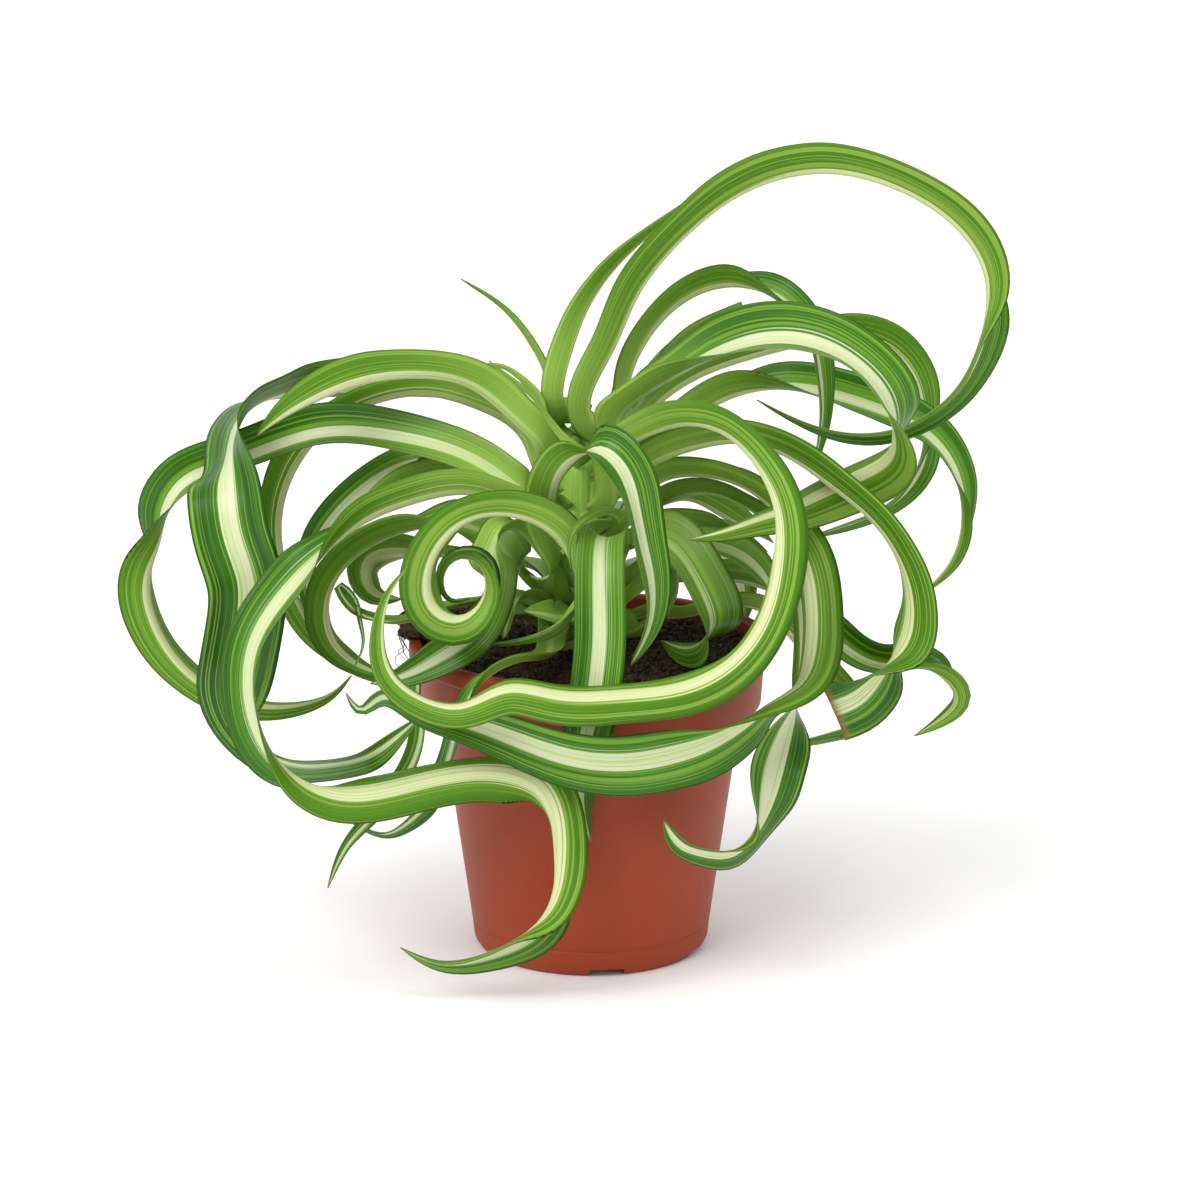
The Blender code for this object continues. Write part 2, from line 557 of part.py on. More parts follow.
def make_pot(material, collection, cutters):
    """The pot: a turned shell, with drain notches cut in its foot."""
    shape = bmesh.new()
    points = [shape.verts.new((radius * MM, 0, height * MM)) for radius, height in pot_profile()]
    for a, b in zip(points, points[1:] + points[:1]):
        if a.co.x or b.co.x:
            shape.edges.new((a, b))
    mesh = bpy.data.meshes.new("pot")
    shape.to_mesh(mesh)
    shape.free()
    pot = add_object("pot", mesh, material, collection)
    turned = pot.modifiers.new("turned", "SCREW")
    turned.steps = turned.render_steps = POT_STEPS
    turned.use_merge_vertices = True
    turned.merge_threshold = 0.0001
    for k in range(NOTCH_COUNT):
        cutter = notch_cutter(k, cutters)
        cut = pot.modifiers.new(cutter.name, "BOOLEAN")
        cut.operation = "DIFFERENCE"
        cut.object = cutter
    return pot


def notch_cutter(index, cutters):
    """A box across the foot, from NOTCH_FROM out past the wall."""
    turn = NOTCH_TURN + index * 2 * math.pi / NOTCH_COUNT
    reach = FOOT_RADIUS + 6 - NOTCH_FROM
    middle = NOTCH_FROM + reach / 2
    shape = bmesh.new()
    bmesh.ops.create_cube(shape, size=1)
    bmesh.ops.scale(shape, verts=shape.verts, vec=(reach * MM, NOTCH_WIDTH * MM, 2 * NOTCH_HEIGHT * MM))
    name = f"notch_cutter_{index + 1}"
    mesh = bpy.data.meshes.new(name)
    shape.to_mesh(mesh)
    shape.free()
    cutter = bpy.data.objects.new(name, mesh)
    cutter.location = (middle * math.cos(turn) * MM, middle * math.sin(turn) * MM, 0)
    cutter.rotation_euler.z = turn
    cutter.hide_render = True
    cutter.display_type = "WIRE"
    cutters.objects.link(cutter)
    return cutter


def ring(radius, height_at, steps, middle=(0.0, 0.0)):
    """A level circle of points, or one that follows height_at(x, y)."""
    points = []
    for k in range(steps):
        turn = 2 * math.pi * k / steps
        x = middle[0] + radius * math.cos(turn)
        y = middle[1] + radius * math.sin(turn)
        points.append((x, y, height_at(x, y)))
    return points


def make_soil(material, collection):
    """The soil: it fills the pot a gap short of the walls, and its top follows the mound."""
    low = FLOOR_THICKNESS + CLEARANCE
    shoulder = POT_HEIGHT - COLLAR_HEIGHT
    gap = WALL + CLEARANCE + 0.2
    sections = [
        ring(FOOT_RADIUS - gap - 1.4, lambda x, y: low, SOIL_STEPS),
        ring(wall_radius(FOOT_CHAMFER) - gap, lambda x, y: low + 2.5, SOIL_STEPS),
        ring(WALL_TOP_RADIUS - gap, lambda x, y: shoulder, SOIL_STEPS),
        ring(COLLAR_RADIUS - 1 - gap, lambda x, y: shoulder + 4, SOIL_STEPS),
    ]
    for share in (0.99, 0.85, 0.7, 0.5, 0.3, 0.12):
        sections.append(ring((COLLAR_RADIUS - 1 - gap) * share, mound, SOIL_STEPS))
    return loft("soil", sections, material, collection)


def make_crown(material, collection):
    """The crown: a tapering column that stands on the soil and carries every leaf."""
    foot = max(mound(CROWN_AT[0] + dx, CROWN_AT[1] + dy) for dx in (-11, 0, 11) for dy in (-11, 0, 11)) + CLEARANCE
    heights = (foot, foot + 20, foot + 40, CROWN_TOP - 3)
    sections = [ring(crown_radius(h), lambda x, y, h=h: h, CROWN_STEPS, CROWN_AT) for h in heights]
    sections.append(ring(CROWN_NECK_RADIUS - 2, lambda x, y: CROWN_TOP, CROWN_STEPS, CROWN_AT))
    return loft("crown", sections, material, collection)


def main():
    for thing in list(bpy.data.objects):
        bpy.data.objects.remove(thing, do_unlink=True)
    plant = bpy.data.collections.new("potted_spider_plant")
    cutters = bpy.data.collections.new("cutters")
    bpy.context.scene.collection.children.link(plant)
    bpy.context.scene.collection.children.link(cutters)
    make_pot(plain_material("terracotta_plastic", (0.42, 0.11, 0.05), 0.55), plant, cutters)
    make_soil(plain_material("potting_soil", (0.03, 0.018, 0.01), 0.95), plant)
    make_crown(plain_material("crown_flesh", (0.45, 0.6, 0.2), 0.5), plant)
    blade = plain_material("leaf_blade", (0.1, 0.35, 0.05), 0.4)
    for name, row in LEAVES.items():
        loft(name, leaf_sections(**row), blade, plant)


if __name__ == "__main__":
    main()
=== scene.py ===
"""Curly spider plant in a round nursery pot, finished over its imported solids.

Laid out as a Blender add-on and run as a script. Metres, +Z up, the front of the plant towards -Y.
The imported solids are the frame: the pot, the soil, the crown and 42 leaves. Each finished piece
stands in for one of them and lies where it does.

A leaf is laid out on the front elevation, the upright plane through the pot's axis. A knot is
(across, up, out, facing): the millimetres across and up on that plane, the millimetres it then comes
out along the sight line of EYE, and the way the blade's upper face looks there.
"""

import math

import bmesh
import bpy
import numpy as np
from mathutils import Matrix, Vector, noise


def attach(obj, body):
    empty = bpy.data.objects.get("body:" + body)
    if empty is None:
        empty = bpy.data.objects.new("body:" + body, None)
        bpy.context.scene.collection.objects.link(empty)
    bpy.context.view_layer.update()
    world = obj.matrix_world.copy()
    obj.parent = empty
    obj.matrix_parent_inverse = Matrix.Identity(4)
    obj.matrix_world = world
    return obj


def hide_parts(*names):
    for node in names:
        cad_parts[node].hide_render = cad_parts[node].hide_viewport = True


bl_info = {
    "name": "Potted spider plant",
    "version": (1, 0, 0),
    "blender": (4, 5, 0),
    "location": "View3D > Sidebar > Spider plant",
    "description": "Builds a curly spider plant in a nursery pot",
    "category": "Add Mesh",
}

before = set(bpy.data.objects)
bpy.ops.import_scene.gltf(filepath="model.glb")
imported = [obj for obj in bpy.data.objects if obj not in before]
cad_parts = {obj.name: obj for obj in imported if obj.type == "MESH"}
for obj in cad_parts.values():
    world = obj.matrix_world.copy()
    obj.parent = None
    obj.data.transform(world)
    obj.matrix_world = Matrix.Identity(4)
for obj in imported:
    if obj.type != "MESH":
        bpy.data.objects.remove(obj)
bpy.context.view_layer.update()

MM = 0.001
EYE = np.array((3.0, -1500.0, 519.0))  # where the front elevation is seen from, in millimetres
EYE_LENS = 141.7
EYE_TILT = math.radians(75.02)

POT_HEIGHT = 105.0
RIM_RADIUS = 60.0
RIM_HEIGHT = 6.0
COLLAR_RADIUS = 57.2
COLLAR_HEIGHT = 22.0
WALL_TOP_RADIUS = 50.0
FOOT_RADIUS = 38.4
WALL = 1.6
FLOOR_THICKNESS = 2.4
NOTCH_COUNT = 6
NOTCH_AT = 37.2  # radius of the middle of each notch
NOTCH_DEPTH = 14.4
NOTCH_WIDTH = 11.5
NOTCH_HEIGHT = 2.6
NOTCH_TURN = math.radians(-82.0)

SOIL_EDGE = 99.5
SOIL_CENTRE = 102.0
SOIL_MOUND = 12.0
SOIL_MOUND_AT = (-42.0, 8.0)
SOIL_MOUND_SPREAD = 17.0

CLODS_AT = (-55.0, 4.0, 108.0)  # middle of the heap of clods
CLOD_COUNT = 13
CLOD_TURN = 2.4  # the golden angle, from each clod to the next
CLODS_REACH = 6.5  # of the heap across; it is longer from front to back
CLODS_LONGER = 1.3
CLOD_LARGEST = 4.6
CLOD_SHRINK = 1.8  # from the first clod to the last
CLOD_LUMPS = 0.45

CRUMB_SLOPE = 0.35  # crumbs lie where the surface looks up at least this much
CRUMB_SMALLEST = 0.25  # as a share of the middling crumb
CRUMB_LARGEST = 1.6

ROOT_COUNT = 5
ROOT_STEPS = 14
ROOT_RADIUS = 0.28
ROOTS_TURN = 172.0  # degrees round the pot
ROOTS_SPREAD = 14.0
ROOT_START = 46.0  # how far from the axis a root leaves the soil
ROOT_REACH = 16.0  # how far out it runs from there, past the rim
ROOT_LEVEL = 109.0
ROOT_DIP = 2.0
ROOT_SHORTEST = 7.0  # hang of the shortest root, and how much longer the longest is
ROOT_LONGER = 10.0
ROOT_SWAY = 6.0

CROWN_AT = (-3.0, 2.0)
CROWN_FOOT_RADIUS = 10.5
CROWN_NECK_RADIUS = 6.0
CROWN_TOP = 167.0

SHEATH_WIDTH = 14.0  # of each leaf where it leaves the crown
TAPER = 0.36  # share of its length over which a leaf draws out to its tip, unless its row says otherwise
GROW = 0.3  # share of its length over which it widens from its foot
BASE_RISE = 8.0
FOOT_GAP = 0.6  # between the crown and a leaf's foot
TIP_WIDTH = 0.36

KEEL_ROUNDING = 0.12  # share of the half width over which the fold at the midrib is rounded
KEEL_HEIGHT = 0.35  # of the ridge under the midrib
KEEL_REACH = 0.10  # share of the half width that the ridge takes
EDGE_THINNING = 0.75  # share of its thickness that a blade loses towards its margin
BOW = 0.06  # how far each half bows, as a share of its width
RIB_HEIGHT = 0.05  # of the lengthwise ribs of the upper face
RIB_WAVES = 9
SWELL_PER_MM = 0.011  # how often the fold opens and closes along a blade
SWELL = 0.25  # and by what share
RIPPLE_PER_MM = 0.028  # how often the margins wave
HINT_PASSES = 8
FACING_PASSES = 4
SEEDS = 997

SHEATH_SPREAD = math.radians(62)  # half the turn round the crown that a clasping base takes
SHEATH_PROUD = 2.3
SHEATH_SUNK = 1.6  # how far the column lies under its sheaths
SHEATH_LENGTH = 26.0
CROWN_STEPS = 96
CROWN_LEVELS = 120

POT_STEPS = 160
SOIL_STEPS = 120
SOIL_LEVELS = 34
CLOD_HEIGHT = 1.5  # how far clods rise and sink

FACING = {
    "U": (0, 0, 1), "D": (0, 0, -1), "L": (-1, 0, 0), "R": (1, 0, 0), "F": (0, -1, 0), "B": (0, 1, 0),
}

# Each leaf: the turn of its foot round the crown in degrees (0 right, 90 back, 180 left, 270 front), the
# foot's height, its full width, the fold of each half in degrees, and its knots from the crown to the tip.
LEAVES = {
    "front_hoop": {
        "turn": 318, "height": 147, "width": 19, "fold": 38,
        "knots": (
            (8, 166, 18, "U"), (20, 174, 26, "Ub"), (33, 177, 37, "Ub"), (45, 173, 48, "URb"),
            (55, 162, 58, "Rub"), (61, 147, 66, "Rb"), (61, 130, 71, "RB"), (57, 112, 75, "RB"),
            (47, 97, 78, "RDB"), (31, 88, 80, "DB"), (10, 85, 81, "DB"), (-12, 85, 81, "DB"),
            (-28, 87, 81, "DB"), (-43, 81, 80, "Db"), (-57, 84, 78, "LDb"), (-66, 92, 76, "LB"),
            (-69, 106, 74, "LB"), (-66, 120, 72, "LB"), (-60, 129, 70, "LB"),
        ),
    },
    "front_sash": {
        "turn": 338, "height": 137, "width": 22, "fold": 25, "taper": 0.35,
        "knots": (
            (20, 156, -2, "Ub"), (36, 160, 3, "Ub"), (52, 155, 12, "Ub"), (64, 143, 22, "URb"),
            (71, 127, 31, "RB"), (73, 110, 40, "RB"), (72, 97, 49, "RBd"), (69, 89, 57, "RD"),
            (60, 82, 65, "Df"), (45, 72, 69, "DF"), (28, 65, 70, "F"), (10, 62, 71, "F"),
            (-8, 64, 71, "F"), (-25, 70, 70, "F"), (-42, 76, 69, "F"), (-58, 81, 66, "F"),
            (-70, 84, 64, "F"), (-76, 80, 64, "F"), (-81, 86, 64, "F"),
        ),
    },
    "outer_hoop": {
        "turn": 352, "height": 149, "width": 22, "fold": 38, "fold_end": 12, "cut": True,
        "knots": (
            (18, 162, 8, "Ub"), (34, 169, 18, "Ub"), (50, 171, 26, "Ub"), (65, 166, 34, "Ub"),
            (79, 156, 42, "URb"), (92, 145, 48, "URb"), (101, 132, 52, "RUb"), (105, 117, 56, "Rb"),
            (103, 103, 58, "RB"), (95, 91, 59, "RF"), (87, 83, 56, "F"), (80, 80, 54, "F"),
        ),
    },
    "right_hanger": {
        "turn": 12, "height": 142, "width": 20, "fold": 20, "taper": 0.2,
        "knots": (
            (18, 149, -18, "Ub"), (34, 154, -15, "Ub"), (50, 150, -8, "Ub"), (62, 140, 2, "URb"),
            (69, 122, 14, "RB"), (71, 104, 26, "RB"), (70, 88, 36, "RB"), (65, 74, 45, "RF"),
            (61, 60, 51, "F"), (58, 47, 55, "RF"), (54, 36, 57, "RD"), (47, 30, 59, "DF"),
            (38, 30, 60, "DF"), (30, 33, 61, "DF"), (24, 42, 61, "F"),
        ),
    },
    "great_loop": {
        "turn": 10, "height": 163, "width": 20, "fold": 44, "taper": 0.6,
        "knots": (
            (1, 178, 0, "Lb"), (6, 200, 4, "Lb"), (15, 220, 8, "ULb"), (31, 240, 12, "ULb"),
            (50, 254, 17, "ULb"), (75, 260, 22, "Ub"), (100, 254, 27, "URb"), (119, 241, 30, "URb"),
            (128, 225, 30, "Rb"), (127, 206, 28, "RF"), (118, 187, 24, "RF"), (100, 175, 19, "DF"),
            (80, 174, 13, "DF"), (54, 185, 6, "DF"),
        ),
    },
    "shoulder": {
        "turn": 338, "height": 158, "width": 24, "fold": 38, "taper": 0.35,
        "knots": (
            (10, 179, 14, "U"), (22, 190, 20, "U"), (38, 199, 28, "Uf"), (56, 205, 34, "UF"),
            (72, 204, 39, "UF"), (87, 196, 43, "URF"), (96, 185, 44, "RF"), (99, 174, 42, "R"),
            (97, 166, 36, "RDB"), (86, 159, 30, "DB"), (76, 154, 31, "DB"), (66, 149, 38, "DB"),
            (55, 145, 43, "DB"), (44, 141, 45, "DB"), (32, 138, 46, "DB"),
        ),
    },
    "pale_arch": {
        "turn": 42, "height": 160, "width": 17, "fold": 36, "taper": 0.55,
        "knots": (
            (12, 191, -13, "LU"), (20, 208, -13, "LUb"), (32, 219, -12, "Ub"), (46, 223, -9, "Ub"),
            (60, 219, -4, "Uf"), (70, 208, 0, "RUf"), (74, 194, 2, "RF"), (75, 178, 2, "RF"),
            (72, 160, 0, "RF"),
        ),
    },
    "right_arch": {
        "turn": 12, "height": 152, "width": 20, "fold": 38, "taper": 0.55,
        "knots": (
            (20, 169, -18, "Ub"), (33, 179, -24, "Ub"), (48, 187, -28, "Ub"), (66, 189, -30, "Uf"),
            (84, 185, -30, "UF"), (100, 179, -28, "UF"), (112, 171, -26, "URF"), (120, 158, -22, "RF"),
            (122, 143, -17, "R"), (118, 130, -10, "RB"), (108, 119, -3, "RDB"),
        ),
    },
    "back_hook": {
        "turn": 64, "height": 151, "width": 18, "fold": 38, "taper": 0.5,
        "knots": (
            (12, 174, -34, "Ub"), (30, 190, -46, "Ub"), (55, 200, -54, "Ub"), (78, 205, -56, "Ub"),
            (95, 203, -55, "URb"), (105, 192, -52, "RB"), (109, 177, -46, "R"), (107, 162, -38, "RF"),
            (99, 151, -32, "DF"), (86, 144, -26, "DF"), (68, 138, -20, "DF"),
        ),
    },
    "cut_blade": {
        "turn": 100, "height": 158, "width": 13, "fold": 38, "cut": True,
        "knots": ((10, 178, -26, "Lu"), (21, 193, -29, "LU"), (33, 205, -32, "LUb"), (50, 213, -35, "Ub")),
    },
    "low_right": {
        "turn": 0, "height": 113, "width": 15, "fold": 34, "taper": 0.3,
        "knots": (
            (25, 124, -24, "Ub"), (50, 124, -34, "Ub"), (70, 114, -34, "Ub"), (84, 101, -26, "UF"),
            (98, 95, -12, "UF"), (110, 95, -2, "UF"), (118, 90, 4, "R"), (121, 84, 6, "RB"),
            (116, 77, 8, "DB"), (107, 71, 10, "DB"),
        ),
    },
    "low_tuck": {
        "turn": 350, "height": 106, "width": 12, "fold": 30,
        "knots": (
            (28, 112, -10, "Ub"), (50, 116, -16, "Ub"), (64, 108, -24, "Ub"), (74, 96, -30, "Ub"),
            (86, 84, -32, "Ub"), (91, 78, -28, "RDf"), (84, 73, -18, "DF"), (74, 70, -8, "DF"),
            (62, 67, 0, "DF"),
        ),
    },
    "inner_arch_high": {
        "turn": 358, "height": 130, "width": 13, "fold": 36,
        "knots": (
            (18, 141, -8, "Ub"), (28, 143, -14, "Ub"), (38, 142, -18, "Ub"), (48, 138, -20, "Uf"),
            (58, 134, -22, "Uf"),
        ),
    },
    "inner_arch_low": {
        "turn": 350, "height": 119, "width": 15, "fold": 34,
        "knots": (
            (16, 126, 2, "Ub"), (26, 134, 0, "Ub"), (38, 136, -5, "UF"), (50, 132, -9, "UF"),
            (57, 125, -9, "RF"), (62, 114, -6, "RF"),
        ),
    },
    "olive_arch": {
        "turn": 52, "height": 136, "width": 16, "fold": 36,
        "knots": (
            (18, 148, -38, "Ub"), (30, 152, -42, "Ub"), (42, 147, -46, "Ub"), (53, 141, -53, "Ub"),
            (60, 137, -58, "U"),
        ),
    },
    "soil_droop": {
        "turn": 318, "height": 130, "width": 22, "fold": 26,
        "knots": (
            (14, 136, 18, "U"), (23, 138, 26, "UF"), (31, 131, 34, "RF"), (37, 120, 38, "FR"),
            (40, 110, 38, "FR"), (37, 103, 34, "DR"), (30, 101, 26, "DB"), (23, 104, 18, "DB"),
        ),
    },
    "back_droop": {
        "turn": 28, "height": 118, "width": 19, "fold": 21,
        "knots": (
            (30, 131, -36, "Ub"), (41, 132, -50, "UF"), (47, 125, -60, "F"), (49, 115, -66, "F"),
            (48, 106, -68, "F"),
        ),
    },
    "soil_hook": {
        "turn": 318, "height": 107, "width": 11, "fold": 34,
        "knots": (
            (12, 106, 14, "U"), (19, 108, 20, "UL"), (25, 114, 23, "UL"), (28, 122, 24, "L"),
            (27, 129, 20, "ULf"), (23, 127, 16, "DLf"),
        ),
    },
    "centre_arch": {
        "turn": 230, "height": 117, "width": 18, "fold": 30,
        "knots": (
            (-11, 132, 24, "Lf"), (-13, 147, 33, "LB"), (-11, 159, 38, "LB"), (-5, 166, 42, "UB"),
            (3, 168, 46, "UF"), (10, 162, 49, "UF"), (14, 151, 52, "FR"), (17, 137, 55, "FR"),
            (20, 122, 57, "FR"), (19, 108, 58, "FR"), (13, 95, 58, "F"),
        ),
    },
    "centre_droop": {
        "turn": 292, "height": 118, "width": 18, "fold": 24, "grow": 0.5,
        "knots": (
            (5, 128, 26, "U"), (6, 136, 34, "Ub"), (4, 139, 42, "Uf"), (3, 132, 50, "F"),
            (3, 118, 56, "F"), (3, 104, 60, "F"), (2, 92, 63, "F"), (0, 78, 63, "F"), (-2, 68, 61, "F"),
            (-3, 58, 53, "F"), (-3, 47, 49, "F"), (0, 34, 48, "F"),
        ),
    },
    "centre_wisp": {
        "turn": 303, "height": 140, "width": 6, "fold": 40, "taper": 0.7,
        "knots": (
            (9, 144, 20, "U"), (7, 147, 32, "U"), (1, 146, 44, "U"), (-5, 141, 51, "U"),
            (-7, 134, 53, "L"), (-6, 127, 53, "L"),
        ),
    },
    "front_curl": {
        "turn": 262, "height": 124, "width": 17, "fold": 34, "taper": 0.4,
        "knots": (
            (-5, 128, 36, "R"), (-11, 139, 43, "UB"), (-20, 145, 47, "UB"), (-31, 147, 51, "UB"),
            (-42, 144, 55, "UB"), (-50, 136, 57, "LB"), (-54, 125, 58, "LB"), (-52, 115, 58, "DB"),
            (-45, 111, 57, "DB"), (-38, 114, 54, "RD"), (-34, 122, 50, "R"), (-37, 131, 45, "U"),
            (-44, 132, 41, "U"), (-49, 125, 38, "L"), (-46, 118, 35, "LD"), (-40, 118, 32, "D"),
        ),
    },
    "ring_wisp": {
        "turn": 284, "height": 109, "width": 9, "fold": 22, "taper": 0.7,
        "knots": (
            (2, 113, 26, "R"), (-4, 118, 42, "DRf"), (-10, 110, 48, "DF"), (-19, 105, 47, "DF"),
            (-28, 103, 42, "DF"), (-36, 102, 36, "DF"),
        ),
    },
    "rim_drape": {
        "turn": 222, "height": 128, "width": 16, "fold": 26,
        "knots": (
            (-20, 138, 14, "U"), (-28, 142, 21, "U"), (-32, 136, 26, "L"), (-32, 126, 29, "RF"),
            (-34, 115, 37, "FR"), (-41, 105, 45, "F"), (-51, 98, 46, "F"), (-62, 92, 44, "F"),
            (-73, 89, 42, "F"),
        ),
    },
    "left_ring": {
        "turn": 192, "height": 117, "width": 19, "fold": 28, "taper": 0.45,
        "knots": (
            (-24, 128, 9, "Uf"), (-32, 138, 4, "UF"), (-44, 143, 2, "Uf"), (-58, 142, 2, "Ub"),
            (-71, 137, 4, "Ub"), (-81, 129, 6, "ULb"), (-87, 117, 10, "Lb"), (-86, 105, 14, "LB"),
            (-78, 96, 20, "DB"), (-65, 91, 26, "DB"),
        ),
    },
    "back_curl": {
        "turn": 160, "height": 121, "width": 16, "fold": 22,
        "knots": (
            (-24, 130, -12, "Ub"), (-38, 132, -20, "Ub"), (-50, 133, -24, "Ub"), (-62, 134, -25, "UB"),
            (-73, 130, -22, "LB"), (-72, 121, -16, "DB"), (-62, 118, -14, "DB"),
        ),
    },
    "soil_fan": {
        "turn": 215, "height": 112, "width": 10, "fold": 28,
        "knots": ((-18, 118, 16, "Ub"), (-24, 118, 24, "Ub"), (-27, 112, 30, "LF"), (-29, 104, 32, "F")),
    },
    "soil_blade": {
        "turn": 266, "height": 113, "width": 12, "fold": 24,
        "knots": ((-10, 112, 30, "UF"), (-16, 113, 35, "UF"), (-22, 114, 38, "UF")),
    },
    "left_wisp": {
        "turn": 165, "height": 106, "width": 5, "fold": 36, "taper": 0.6,
        "knots": (
            (-34, 117, 10, "U"), (-50, 114, 20, "U"), (-64, 110, 26, "U"), (-74, 112, 27, "UF"),
            (-81, 118, 27, "F"), (-83, 123, 27, "F"), (-79, 120, 27, "F"), (-76, 111, 28, "F"),
            (-75, 103, 30, "F"), (-78, 95, 32, "F"),
        ),
    },
    "left_arch_high": {
        "turn": 184, "height": 159, "width": 19, "fold": 38,
        "knots": (
            (-17, 169, 6, "Ub"), (-27, 180, 7, "Ub"), (-40, 190, 8, "Ub"), (-56, 193, 11, "UB"),
            (-74, 191, 13, "UB"), (-90, 185, 14, "UB"), (-101, 179, 13, "UB"), (-109, 173, 11, "UB"),
        ),
    },
    "left_olive_ring": {
        "turn": 168, "height": 152, "width": 17, "fold": 38,
        "knots": (
            (-22, 172, -9, "Ub"), (-38, 183, -12, "Ub"), (-54, 187, -14, "Ub"), (-68, 185, -15, "Ub"),
            (-81, 179, -18, "ULb"), (-92, 169, -21, "Lb"), (-99, 157, -20, "Lb"), (-102, 144, -18, "Lb"),
            (-101, 131, -14, "Lb"), (-97, 119, -10, "Lb"), (-92, 109, -6, "LDb"), (-84, 100, 0, "Db"),
            (-75, 93, 5, "Db"), (-64, 88, 9, "Db"),
        ),
    },
    "left_broad": {
        "turn": 142, "height": 156, "width": 26, "fold": 16, "taper": 0.3,
        "knots": (
            (-18, 178, -26, "Ub"), (-42, 186, -44, "Ub"), (-66, 189, -52, "UB"), (-88, 189, -46, "UB"),
            (-104, 186, -30, "UB"), (-114, 179, -7, "UL"), (-118, 167, 14, "LF"), (-119, 152, 29, "F"),
            (-117, 138, 33, "F"), (-113, 124, 33, "F"), (-114, 108, 31, "F"), (-117, 92, 29, "F"),
            (-117, 78, 28, "LF"), (-111, 68, 30, "DLF"), (-99, 61, 39, "DF"), (-86, 61, 48, "DF"),
            (-74, 64, 54, "DF"), (-64, 71, 57, "F"), (-56, 78, 60, "F"),
        ),
    },
    "left_far_loop": {
        "turn": 208, "height": 148, "width": 19, "fold": 34, "taper": 0.45,
        "knots": (
            (-20, 153, 10, "Uf"), (-32, 161, 9, "UF"), (-48, 169, 5, "UF"), (-66, 173, 0, "UF"),
            (-86, 174, -4, "UF"), (-104, 169, -8, "UF"), (-120, 163, -8, "UF"), (-133, 157, -6, "UF"),
            (-139, 148, -4, "ULF"), (-142, 137, -2, "L"), (-146, 124, 0, "LB"), (-144, 110, 2, "LB"),
            (-136, 96, 4, "LB"), (-124, 86, 5, "DB"), (-108, 81, 6, "DB"), (-94, 82, 7, "DB"),
            (-85, 86, 8, "Db"), (-79, 92, 8, "Db"),
        ),
    },
    "left_big_loop": {
        "turn": 212, "height": 138, "width": 20, "fold": 34, "taper": 0.2,
        "knots": (
            (-18, 146, 10, "Ub"), (-30, 152, 16, "Ub"), (-44, 154, 22, "UB"), (-58, 151, 27, "UB"),
            (-71, 146, 32, "UB"), (-83, 138, 37, "UL"), (-94, 127, 43, "LF"), (-104, 115, 48, "LF"),
            (-111, 102, 52, "LF"), (-113, 88, 55, "LF"), (-111, 75, 58, "LF"), (-105, 63, 60, "LDF"),
            (-94, 54, 62, "D"), (-79, 51, 63, "DB"), (-62, 54, 63, "DB"), (-44, 58, 63, "DB"),
            (-28, 58, 63, "DB"), (-17, 53, 63, "B"), (-12, 43, 64, "RB"), (-11, 29, 64, "RB"),
            (-13, 13, 64, "R"), (-22, 1, 61, "DF"), (-36, -6, 59, "DF"), (-51, -8, 58, "DF"),
            (-64, -3, 57, "DF"),
        ),
    },
    "left_mid_arch": {
        "turn": 166, "height": 144, "width": 15, "fold": 34,
        "knots": (
            (-22, 158, -14, "Ub"), (-36, 164, -16, "Ub"), (-50, 165, -16, "Ub"), (-63, 161, -15, "UF"),
            (-74, 154, -14, "UF"), (-83, 145, -12, "LF"), (-89, 136, -10, "LF"), (-92, 126, -8, "LF"),
            (-91, 114, -4, "LF"), (-88, 104, 0, "F"),
        ),
    },
    "left_low_arch": {
        "turn": 188, "height": 134, "width": 16, "fold": 34,
        "knots": (
            (-22, 149, -5, "Ub"), (-31, 155, -8, "Ub"), (-44, 159, -8, "Ub"), (-57, 157, -5, "UB"),
            (-68, 151, -1, "UB"), (-77, 143, 2, "UL"), (-83, 136, 3, "UL"),
        ),
    },
    "top_left_blade": {
        "turn": 140, "height": 166, "width": 7, "fold": 40, "taper": 0.9,
        "knots": ((-14, 191, -16, "Ru"), (-19, 203, -18, "Ru"), (-27, 214, -19, "RU"), (-42, 225, -20, "RU")),
    },
    "top_left_wisp_a": {
        "turn": 195, "height": 166, "width": 6, "fold": 42, "taper": 0.9,
        "knots": ((-17, 184, -1, "Ub"), (-22, 191, -2, "Ub"), (-29, 196, -3, "Ub"), (-39, 196, -4, "Ub")),
    },
    "top_left_wisp_b": {
        "turn": 258, "height": 164, "width": 5, "fold": 42, "taper": 0.9,
        "knots": ((-13, 177, 12, "RU"), (-19, 186, 15, "RU"), (-26, 192, 17, "RU"), (-33, 198, 18, "RU")),
    },
    "tall_blade": {
        "turn": 80, "height": 165, "width": 13, "fold": 38, "taper": 0.7,
        "knots": (
            (-9, 183, -5, "Lb"), (-7, 200, -8, "Lb"), (-2, 214, -12, "Lb"), (6, 227, -16, "ULb"),
            (18, 239, -18, "ULb"), (37, 254, -20, "Ub"),
        ),
    },
    "low_left_strand": {
        "turn": 202, "height": 106, "width": 8, "fold": 32,
        "knots": (
            (-38, 108, 28, "U"), (-51, 100, 34, "U"), (-57, 89, 36, "LF"), (-56, 76, 38, "LF"),
            (-58, 64, 40, "LF"), (-64, 53, 40, "LF"), (-72, 43, 38, "LF"), (-81, 33, 36, "LF"),
            (-88, 18, 34, "F"),
        ),
    },
    "low_left_curl": {
        "turn": 238, "height": 106, "width": 8, "fold": 28,
        "knots": (
            (-14, 99, 38, "U"), (-24, 97, 54, "U"), (-36, 90, 62, "L"), (-41, 82, 60, "Lf"),
            (-45, 71, 52, "LF"), (-49, 58, 44, "LF"), (-55, 47, 40, "DF"), (-62, 40, 34, "DF"),
            (-71, 37, 26, "DF"), (-79, 41, 22, "DF"), (-85, 46, 20, "DF"),
        ),
    },
}

